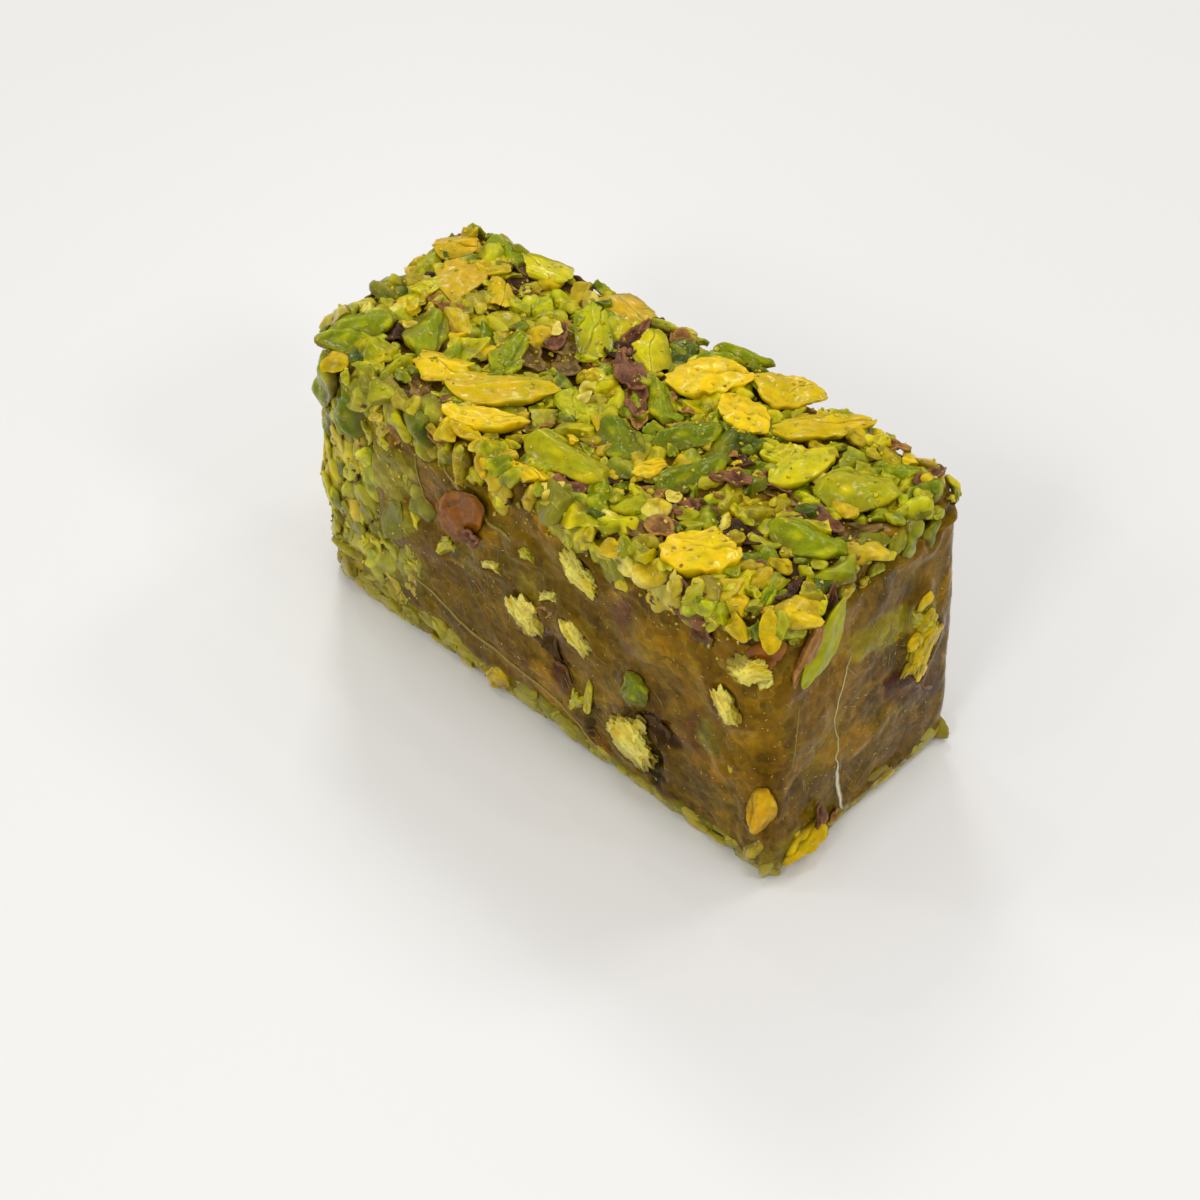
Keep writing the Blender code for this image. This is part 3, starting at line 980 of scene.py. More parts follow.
@dataclass
class Heap:
    """Copies of modelled forms, joined into one piece."""

    points: list[np.ndarray] = field(default_factory=list)
    faces: list[np.ndarray] = field(default_factory=list)
    colours: list[np.ndarray] = field(default_factory=list)
    grain: list[np.ndarray] = field(default_factory=list)
    count: int = 0

    def add(self, form: Form, seat: Seat, tint: Tint, light: float = 1.0, veil: float = 0.0) -> None:
        """Lays one copy of a form on its seat.

        Args:
            form: The form to copy.
            seat: Where it lies.
            tint: Its colours.
            light: How light it is beside the others of its tint.
            veil: How much of the jelly's film hides it.
        """
        low, high = form.points.min(0), form.points.max(0)
        middle = np.array([*(0.5 * (low + high))[:2], low[2]])
        local = (form.points - middle) / (high - low) * seat.size
        placed = local @ seat.axes + seat.place
        broken, outer = tint.value
        colours = mixed(broken, outer, form.outer)
        # pale rims on the raised edges: partly the paler broken flesh, partly a painted highlight
        pale = 0.4 * min(1.0, broken[1] / 0.4)
        rim = np.asarray(broken) * (1.0 - pale) + np.array(PALE.value[0]) * pale
        colours = mixed(colours, rim, 0.55 * ramp(form.edge, 0.1, 1.0))
        warmth = cloud(placed, 2.4, 8.0)[:, None] * np.array([0.10, 0.02, -0.05])
        colours = colours * light * (1.0 + 0.14 * cloud(placed, 1.1, 4.0)[:, None] + warmth)
        # painted shade in the furrows
        colours = colours * (1.0 - 0.35 * ramp(form.edge, -0.1, -1.0))[:, None]
        # the jelly's film browns each piece's foot; the brown reaching above the bed is painted shade in the crevices
        reach = min(1.0, 0.5 * float(seat.size[2]))
        colours = mixed(colours, Jelly.FILM_BROWN_AND_SHADE, 0.85 * ramp(local[:, 2] - seat.bed, 1.1 * reach, -0.5 * reach))
        if veil:
            colours = mixed(colours, Jelly.FILM_COLOUR, np.full(len(placed), veil))
        self.points.append(placed)
        self.faces.append(form.faces + self.count)
        self.colours.append(colours)
        self.grain.append(local + seat.place * 3.7)
        self.count += len(placed)

    def build(self, name: str, finish: Material, slot: str, nodes: Iterable[str] = (), crisp: bool = False) -> None:
        """Makes the piece.

        Args:
            name: The piece's name.
            finish: Its material.
            slot: Not used.
            nodes: The solids it stands for.
            crisp: Whether its steeper edges show as edges.
        """
        mesh = bpy.data.meshes.new(name)
        points = np.concatenate(self.points) * MM
        points[:, 2] = np.maximum(points[:, 2], 0.0)
        faces = np.concatenate(self.faces)
        mesh.vertices.add(len(points))
        mesh.vertices.foreach_set("co", points.astype(np.float32).ravel())
        mesh.loops.add(faces.size)
        mesh.loops.foreach_set("vertex_index", faces.astype(np.int32).ravel())
        mesh.polygons.add(len(faces))
        mesh.polygons.foreach_set("loop_start", np.arange(0, faces.size, 3, dtype=np.int32))
        mesh.update(calc_edges=True)
        mesh.validate()
        paint(mesh, np.concatenate(self.colours), np.concatenate(self.grain))
        keep(linked(name, mesh), finish, nodes, crisp)


FINISHED: list[Object] = []


def keep(piece: Object, finish: Material, nodes: Iterable[str] = (), crisp: bool = False) -> None:
    """Dresses a piece, and tells the frame what it rides on and the solids it stands for.

    Args:
        piece: The piece.
        finish: Its material.
        nodes: The solids it stands for.
        crisp: Whether its steeper edges show as edges.
    """
    piece.data.materials.clear()
    piece.data.materials.append(finish)
    piece.data.shade_smooth()
    if crisp:
        choose(piece)
        bpy.ops.object.shade_smooth_by_angle(angle=CRISP_ANGLE)
    FINISHED.append(piece)
    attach(piece, "root")
    if nodes:
        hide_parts(*nodes)
    LOG.info("%s: %d faces", piece.name, len(piece.data.polygons))


def laid_trees() -> list[BVHTree]:
    """The surfaces of all the pieces that are finished so far."""
    graph = bpy.context.evaluated_depsgraph_get()
    return [BVHTree.FromObject(piece, graph) for piece in FINISHED]


# ---------------------------------------------------------------- the jelly


@dataclass(frozen=True)
class Ghost:
    """Something that shows dimly through the jelly, with its colour as seen on a screen, 0 to 255."""

    face: Face
    u: float
    v: float
    length: float
    width: float
    turn: float
    colour: tuple[int, int, int]
    plain: float
    raised: float = 0.15


# by face, what shows through the jelly: u, v, length, width, turn, colour, how plain, how far raised
GHOSTS = {
    NEAR: (
        (-25.5, 28.3, 7.2, 5.6, 0, (150, 138, 46), 0.8, 0.3),
        (-24, 22.5, 5.2, 5, 0, (146, 138, 34), 0.8, 0.4),
        (-29, 16.5, 12, 5.4, 80, (82, 88, 10), 0.75, 0.3),
        (-24, 32.5, 8.4, 4.6, 5, (138, 128, 26), 0.75, 0.4),
        (-19, 28, 3.6, 3.2, 0, (112, 56, 10), 0.75, 0.1),
        (-28, 9, 9, 4, 20, (122, 112, 24), 0.6, 0.3),
        (-21, 13, 8, 4, 85, (116, 104, 20), 0.5, 0.2),
        (4.5, 39, 9, 6.6, 0, (150, 110, 2), 0.8, 0.3),
        (22, 29.5, 10, 7, 80, (134, 98, 4), 0.7),
        (4.2, 8.6, 9.6, 6.6, 80, (140, 102, 8), 0.8, 0.2),
        (12.5, 4, 4.4, 3.6, 0, (128, 86, 10), 0.7),
        (31.2, 20, 5.2, 3.6, 85, (124, 114, 36), 0.75),
        (28, 18, 5.6, 3, 85, (98, 60, 34), 0.75),
        (0, 25, 5.4, 3.2, 80, (134, 116, 14), 0.8, 0.2),
        (16.5, 32, 5.4, 2.8, 80, (96, 58, 36), 0.8, 0.2),
        (17.6, 25.8, 6.4, 1.2, -75, (112, 66, 26), 0.7),
        (11, 26.5, 5, 3.6, 30, (84, 62, 10), 0.6),
        (21.6, 15.4, 7, 6.4, 0, (54, 30, 18), 0.9, -0.5),
        (22.8, 8, 11, 2.4, 82, (40, 28, 16), 0.9, -0.9),
        (11.2, 8.5, 9, 1.8, 88, (60, 46, 18), 0.8, -0.5),
        (25.5, 40.2, 10, 5.6, 4, (66, 34, 20), 0.9, -0.2),
        (28.6, 37.5, 5, 3, 70, (84, 44, 30), 0.85, 0.2),
        (3.6, 17.4, 6.6, 4.4, -35, (70, 38, 8), 0.9, -0.4),
        (6.2, 12.2, 5.4, 3.8, -60, (76, 40, 14), 0.85, 0.1),
        (25, 3.4, 3.6, 3.2, 0, (92, 60, 38), 0.7),
        (27, 1.6, 13, 3.4, 2, (122, 118, 26), 0.75, 0.3),
        (-7, 29.2, 5, 3, 70, (150, 112, 14), 0.85, 0.3),
        (35.5, 25, 16, 6, 85, (130, 98, 8), 0.6),
    ),
    END: (
        (4.6, 28.4, 16.6, 5.4, -18, (136, 122, 4), 0.8, 0.35),
        (9.4, 15.6, 14, 4.8, -36, (86, 56, 38), 0.8),
        (6, 19, 6, 2.6, -30, (64, 32, 20), 0.85),
        (-3, 42, 11, 5, -25, (146, 106, 10), 0.6),
        (9, 38, 9, 6, -30, (140, 104, 14), 0.5),
        (-14, 30, 14, 6, 80, (136, 100, 8), 0.6),
        (-15.5, 4.2, 7, 6, 30, (136, 120, 30), 0.7, 0.4),
        (16, 27, 7, 2.8, 70, (146, 108, 14), 0.6),
    ),
}


@dataclass
class Jelly:
    """The jelly: a fine skin round the whole block, creased on the cut faces, sunk under the nut coat."""

    FILM_COLOUR = shade(164, 150, 50)
    # brown of the film at a piece's foot, also painted shade in the crevices between pieces
    FILM_BROWN_AND_SHADE = shade(86, 64, 12)
    SOLIDS = ("jelly_body", "nut_coat")
    # cloudy patches: colour as seen on a screen, size, seed, where the cloud begins to show
    PATCHES = (((84, 60, 4), 5.0, 8.0, 0.1), ((126, 98, 2), 7.0, 11.0, 0.0), ((116, 84, 30), 9.0, 12.0, 0.0))

    steps: tuple[int, int, int] = (200, 84, 96)
    base_corners: tuple = ((-42.4, -17.6), (41.4, -17.9), (43.7, 17.6), (-43.6, 15.6))
    top_corners: tuple = ((-41.4, -17.4), (38.6, -17.9), (38.8, 19.8), (-44.2, 16.8))
    height: float = 42.0
    sunk: float = 0.5  # how far the jelly lies under the coat's face on top
    piece: Object | None = None

    def build(self) -> None:
        """Models the skin on the solids, and keeps its plain surface for the seats."""
        self.piece = start(bpy.ops.mesh.primitive_cube_add, size=2.0)
        self.piece.name = "jelly"
        with editing(self.piece) as shape:
            bpy.ops.mesh.select_mode(type="EDGE")
            for axis, count in enumerate(self.steps):
                bpy.ops.mesh.select_all(action="DESELECT")
                for edge in shape.edges:
                    way = edge.verts[0].co - edge.verts[1].co
                    edge.select_set(abs(way[axis]) > 0.9 * way.length)
                bpy.ops.mesh.subdivide(number_cuts=count - 1)
                shape = bmesh.from_edit_mesh(self.piece.data)
        self._to_corners()
        solids = self._solids()
        modify(self.piece, "SHRINKWRAP", target=solids, wrap_method="NEAREST_SURFACEPOINT")
        modify(self.piece, "SMOOTH", factor=0.5, iterations=6)
        self.points = read_points(self.piece.data) / MM
        self.normals = read_points(self.piece.data, "normal")
        self.tree = BVHTree.FromObject(self.piece, bpy.context.evaluated_depsgraph_get())
        self.coated = self._coated()
        bpy.data.objects.remove(solids)

    def _to_corners(self) -> None:
        """Moves the fine cube's points out to the block's eight corners."""
        share = 0.5 * (read_points(self.piece.data) + 1.0)
        x, y, z = (share[:, index, None] for index in range(3))
        base, top = np.array(self.base_corners), np.array(self.top_corners)
        low = (base[0] * (1 - x) + base[1] * x) * (1 - y) + (base[3] * (1 - x) + base[2] * x) * y
        high = (top[0] * (1 - x) + top[1] * x) * (1 - y) + (top[3] * (1 - x) + top[2] * x) * y
        flat = low * (1 - z) + high * z
        write_points(self.piece.data, np.hstack([flat, z * self.height]) * MM)

    def _solids(self) -> Object:
        """Joins merged copies of the jelly and coat solids, to shape the skin on.

        Returns:
            The joined copy.
        """
        choose(*(linked(f"{name}_copy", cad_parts[name].data.copy()) for name in self.SOLIDS))
        bpy.ops.object.join()
        edit(bpy.context.active_object, bpy.ops.mesh.remove_doubles, threshold=1e-6)
        return bpy.context.active_object

    def _coated(self) -> np.ndarray:
        """How far inside the nut coat's border each point of the skin lies.

        Returns:
            The distances in millimetres, below 0 on the bare jelly.
        """
        found = []
        for name in self.SOLIDS:
            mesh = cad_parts[name].data
            mesh.calc_loop_triangles()
            corners = [triangle.vertices[:] for triangle in mesh.loop_triangles]
            tree = BVHTree.FromPolygons([vertex.co for vertex in mesh.vertices], corners)
            found.append(np.array([tree.find_nearest(row)[3] for row in (self.points * MM).tolist()]) / MM)
        return found[0] - found[1]

    def outward(self, place: np.ndarray) -> np.ndarray:
        """The way out of the block at a place."""
        return np.array(self.tree.find_nearest(Vector(place * MM))[1])

    def seat(
        self, face: Face, u: float, v: float, size: Sequence[float], turn: float, lift: float = 0.0, tilt: float = 0.0
    ) -> Seat:
        """Finds a seat on one face of the block.

        Args:
            face: The face.
            u: Place along the face.
            v: Place across it, which is the height on an upright face.
            size: The piece's length, width and height.
            turn: Turn about the surface's normal, in degrees.
            lift: How far above the surface it lies.
            tilt: How far its tip is raised, in degrees.

        Returns:
            The seat.
        """
        begin, way = face.ray(u, v)
        place, normal, _, _ = self.tree.ray_cast(begin, way)
        if place is None:
            place, normal, _, _ = self.tree.find_nearest(begin * 0.3)
        return self.stand(np.array(place) / MM, np.array(normal), size, turn, lift, tilt)

    @staticmethod
    def stand(
        place: np.ndarray, up: np.ndarray, size: Sequence[float], turn: float, lift: float = 0.0, tilt: float = 0.0
    ) -> Seat:
        """A seat at a place on a surface.

        Args:
            place: The place.
            up: The surface's normal.
            size: The piece's length, width and height.
            turn: Turn about the normal, in degrees.
            lift: How far above the surface it lies.
            tilt: How far its tip is raised, in degrees.

        Returns:
            The seat.
        """
        level = np.cross((0.0, 0.0, 1.0), up)
        along = level / np.linalg.norm(level) if np.linalg.norm(level) > 0.6 else np.array([1.0, 0.0, 0.0])
        across = np.cross(up, along)
        across /= np.linalg.norm(across)
        along = np.cross(across, up)
        axes = np.array([along, across, np.cross(along, across)])
        spin = np.array(Matrix.Rotation(math.radians(-turn), 3, "Z"))
        lean = np.array(Matrix.Rotation(math.radians(tilt), 3, "Y"))
        return Seat(place + up * lift, lean @ spin @ axes, np.asarray(size, float), -lift)

    def dress(self, finish: Material, laid: Footprints) -> None:
        """Presses the creases in, sinks the coated part, paints the jelly and a painted shadow round the laid pieces,
        and keeps it.

        Args:
            finish: The jelly's material.
            laid: The pieces that lie on it.
        """
        points, normals = self.points, self.normals
        bare = ramp(self.coated, 0.7, -0.7)
        upright = ramp(np.abs(normals[:, 2]), 0.8, 0.4) * ramp(points[:, 2], 39.0, 35.0)
        film = bare + (1.0 - bare) * 0.85 * upright
        warped = points + drift(points, 5.0, 1.0) * 2.4
        slant = warped @ np.array([[0.6, 0.0, 0.4], [0.0, 0.6, 0.4], [0.4, 0.4, 0.6]])
        folds = 1.0 - np.minimum(1.0, np.abs(cloud(slant, 3.2, 2.0)) * 2.4)
        along = np.array([0.5, 0.5, -0.707])
        ripples = cloud(warped @ (np.eye(3) - 0.7 * np.outer(along, along)), 1.9, 17.0)
        pillows = cells(warped * (1.0, 1.0, 0.7), 3.3, 3.0)
        patch = 0.35 + 0.65 * ramp(cloud(points, 9.0, 30.0), -0.5, 0.3)
        creases = (1.0 - pillows) * patch
        height = 0.5 * cloud(points, 8.0, 5.0) + 0.1 * (folds**2 - 0.3) + 0.07 * ripples
        height += 0.07 * cloud(points, 1.7, 22.0) + 0.1 * (np.sqrt(pillows) - 0.6) * patch
        height *= 1.0 - 0.6 * ramp(normals[:, 0], 0.5, 0.9)
        height = height * film
        ghosts, share, raised = self._ghosts(points, normals)
        height += raised
        away = laid.clear(points)
        height += 0.5 * ramp(np.abs(away - 0.1), 1.3, 0.0) * film
        level = ramp(normals[:, 2], 0.5, 0.9)
        height -= (1.0 - film) * (self.sunk - 0.75 * level + 0.5 * cloud(points, 3.0, 6.0))
        height -= (1.0 - bare) * upright * 0.2
        height = np.minimum(height, 0.85)
        foot = ramp(points[:, 2], 0.0, 1.0)
        moved = points + normals * (height * foot)[:, None]
        moved[:, 2] = np.maximum(moved[:, 2], 0.0)
        write_points(self.piece.data, moved * MM)
        colours = self._colours(bare, film, creases)
        colours = mixed(colours, ghosts, share)
        # painted shadow on the jelly round the pieces that lie on it
        colours = mixed(colours, shade(74, 52, 8), 0.2 * ramp(away, 1.2, 0.4) * film)
        paint(self.piece.data, colours)
        self.tree = BVHTree.FromObject(self.piece, bpy.context.evaluated_depsgraph_get())
        keep(self.piece, finish, ["jelly_body"])

    def _ghosts(self, points: np.ndarray, normals: np.ndarray) -> tuple[np.ndarray, np.ndarray, np.ndarray]:
        """What shows through the jelly at each point.

        Args:
            points: The skin's points.
            normals: Their normals.

        Returns:
            The colours, how plain they are, and how far they are raised.
        """
        colours, share, raised = np.zeros((len(points), 3)), np.zeros(len(points)), np.zeros(len(points))
        plain_jelly = np.array(shade(106, 78, 8))
        ghosts = [Ghost(face, *row) for face, rows in GHOSTS.items() for row in rows]
        for number, ghost in enumerate(ghosts + self._more_ghosts()):
            shown = np.maximum(0.004, plain_jelly + 1.12 * (np.array(shade(*ghost.colour)) - plain_jelly))
            shown[2] = min(shown[2], 0.35 * shown[1])
            seat = self.seat(ghost.face, ghost.u, ghost.v, (ghost.length, ghost.width, 1.0), ghost.turn)
            local = (points - seat.place) @ seat.axes.T
            near = np.flatnonzero(
                (np.abs(local[:, 0]) < ghost.length) & (np.abs(local[:, 1]) < ghost.length)
                & (np.abs(local[:, 2]) < Footprints.REACH) & (normals @ seat.axes[2] > 0.3)
            )
            if not len(near):
                continue
            inside = oval(local[near], ghost.length, ghost.width)
            inside *= 1.0 + 0.3 * cloud(points[near], 0.45 * ghost.width, float(number))
            mask = ramp(inside, 1.14, 0.9) * ghost.plain * (1.0 + 0.2 * cloud(points[near], 1.6, 2.0))
            mask = np.clip(mask, 0.0, 1.0)
            colours[near] = mixed(colours[near], shown, mask / np.maximum(1e-6, mask + share[near] * (1.0 - mask)))
            share[near] = mask + share[near] * (1.0 - mask)
            raised[near] += ghost.raised * ramp(inside, 1.1, 0.3)
        return colours, share, raised

    def _more_ghosts(self) -> list[Ghost]:
        """Faint ones all over the cut faces, and plainer ones on the far side.

        Returns:
            The ghosts.
        """
        draw = np.random.default_rng(SEED + 3)
        kinds = ((134, 100, 6), (120, 106, 16), (92, 70, 12), (98, 66, 26), (116, 92, 40), (146, 120, 10))
        made = []
        for face, count, wide, plain in ((NEAR, 44, 40.0, 0.32), (END, 26, 16.0, 0.3), (FAR, 60, 38.0, 0.7)):
            for _ in range(count):
                size = draw.uniform(3.0, 9.0)
                made.append(Ghost(
                    face, draw.uniform(-wide, wide), draw.uniform(4.0, 38.0), size, size * draw.uniform(0.4, 0.9),
                    draw.uniform(0.0, 180.0), kinds[draw.integers(len(kinds))], draw.uniform(0.3, 1.0) * plain,
                    draw.uniform(-0.1, 0.25),
                ))
        return made

    def _colours(self, bare: np.ndarray, film: np.ndarray, creases: np.ndarray) -> np.ndarray:
        """The jelly's colour at each point: amber near the top, browner below, with a painted glow at the near right
        corner, painted sheen on some facets, and painted highlights on the creases with painted shade beside them.

        Args:
            bare: 1 on the bare jelly, 0 under the coat.
            film: 1 on the bare jelly, less where its film covers nuts.
            creases: 1 on the line of a fine crease.

        Returns:
            One colour for each point.
        """
        points = self.points
        z = points[:, 2] + 5.0 * cloud(points, 9.0, 7.0)
        colours = mixed(shade(112, 84, 10), shade(132, 98, 8), ramp(z, 20.0, 36.0))
        # painted glow of light through the jelly at the near right corner
        corner_glow = ramp(points[:, 0] - points[:, 1], 38.0, 52.0) * ramp(z, 8.0, 18.0)
        colours = mixed(colours, shade(152, 108, 2), 0.75 * corner_glow)
        for seen, size, seed, low in self.PATCHES:
            colours = mixed(colours, shade(*seen), 0.6 * ramp(cloud(points, size, seed), low, 0.6))
        # facets of uneven brightness, with a painted sheen on the greyer brown ones
        tone = facets(points + drift(points, 4.0, 14.0) * 3.0, 7.0, 5.0)
        colours = mixed(colours, shade(118, 86, 30), 0.4 * ramp(tone, 0.6, 0.7)) * (0.9 + 0.18 * tone)[:, None]
        # painted highlight on the crease lines, and painted shade in the hollows beside them
        colours = mixed(colours, shade(160, 126, 40), 0.3 * ramp(creases, 0.84, 1.0))
        colours = colours * (1.0 - 0.22 * ramp(creases, 0.1, 0.6) * ramp(creases, 0.9, 0.6))[:, None]
        green = mixed(shade(126, 108, 8), shade(166, 148, 24), ramp(cloud(points, 3.0, 13.0), -0.4, 0.5))
        under = mixed(shade(70, 48, 8), shade(122, 92, 14), ramp(cloud(points, 2.4, 9.0), -0.4, 0.5))
        return mixed(mixed(under, green, film), colours, bare)


# ---------------------------------------------------------------- the large kernels


@dataclass
class Kernels:
    """The kernels with solids of their own, each replaced by a modelled one on the same seat."""

    jelly: Jelly
    forms: dict[str, Form]
    laid: Footprints

    TINTS = {
        "half": (YELLOW, BRIGHT, BRIGHT, BRIGHT, YELLOW, YELLOW, LIME, BRIGHT, OCHRE, GREEN, BRIGHT, YELLOW),
        "whole": (
            LIME, FRESH, LIME, FRESH, GREEN, GREEN, GREEN, FRESH,
            FRESH, FRESH, FRESH, FRESH, GREEN, DARK_GREEN, ORANGE,
        ),
        "broken": (
            BRIGHT, LIME, OCHRE, FRESH, LIME, YELLOW, OCHRE, AMBER,
            PALE, PALE, PALE, PALE, PALE, YELLOW, PALE,
        ),
    }
    # the modelled form, where it isn't the kind's own
    MODELS = {
        **dict.fromkeys(("half_kernel_02", "half_kernel_04", "half_kernel_05"), "half_1"),
        **dict.fromkeys(("half_kernel_03", "half_kernel_06", "half_kernel_08"), "half_2"),
        **dict.fromkeys(("half_kernel_11", "broken_kernel_08"), "whole"),
    }
    # length, width and height beside the solid's own
    SIZES = {
        "half_kernel_04": (1.2, 1.3, 0.74),
        "half_kernel_05": (1.16, 1.2, 0.7),
        "half_kernel_06": (1.16, 1.2, 0.7),
        "half_kernel_11": (1.0, 0.9, 0.9),
        "half_kernel_12": (0.95, 0.85, 0.8),
        "broken_kernel_08": (1.15, 1.15, 0.62),
        "broken_kernel_09": (0.95, 1.1, 0.8),
        "broken_kernel_10": (0.85, 1.25, 0.7),
        "broken_kernel_11": (0.85, 1.2, 0.7),
        "broken_kernel_12": (0.84, 1.36, 0.9),
        "broken_kernel_14": (0.7, 1.5, 0.9),
    }
    TOP_SIZE, SIDE_SIZE = (1.1, 1.14, 0.86), (1.0, 1.0, 0.8)
    SINK = 0.5  # how far a kernel goes on below its solid, as a share of its height
    SWAY = 0.13  # how far a kernel may be bent, as a share of its width
    VEIL = 0.35  # how much of the film hides the one that lies under it

    def build(self, finish: Material, side: Material) -> None:
        """Makes every kernel.

        Args:
            finish: The material of the kernels on top.
            side: The material of those at the sides.
        """
        kernels = [
            (kind, f"{kind}_kernel_{number:02d}", tint)
            for kind, tints in self.TINTS.items() for number, tint in enumerate(tints, 1)
        ]
        for index, (kind, name, tint) in enumerate(kernels):
            crumbles = tint is PALE or name == "broken_kernel_14"
            usual = {
                "half": "half_0", "whole": "whole", "broken": f"{'crumbly' if crumbles else 'broken'}_{index % 3}",
            }
            model = self.MODELS.get(name, usual[kind])
            seat = Seat.of_node(name, self.jelly.outward)
            upward = seat.axes[2][2]
            seat = seat.resized(self.SIZES.get(name, self.TOP_SIZE if upward > 0.7 else self.SIDE_SIZE))
            self.laid.seats.append(seat)
            veil = self.VEIL if name == "whole_kernel_14" else 0.0
            heap = Heap()
            heap.add(self.forms[model].varied(float(index), self.SWAY), seat.sunk(self.SINK), tint, veil=veil)
            heap.build(name.replace("kernel", "nut"), finish if upward > 0.5 else side, f"kernel_{kind}", [name])
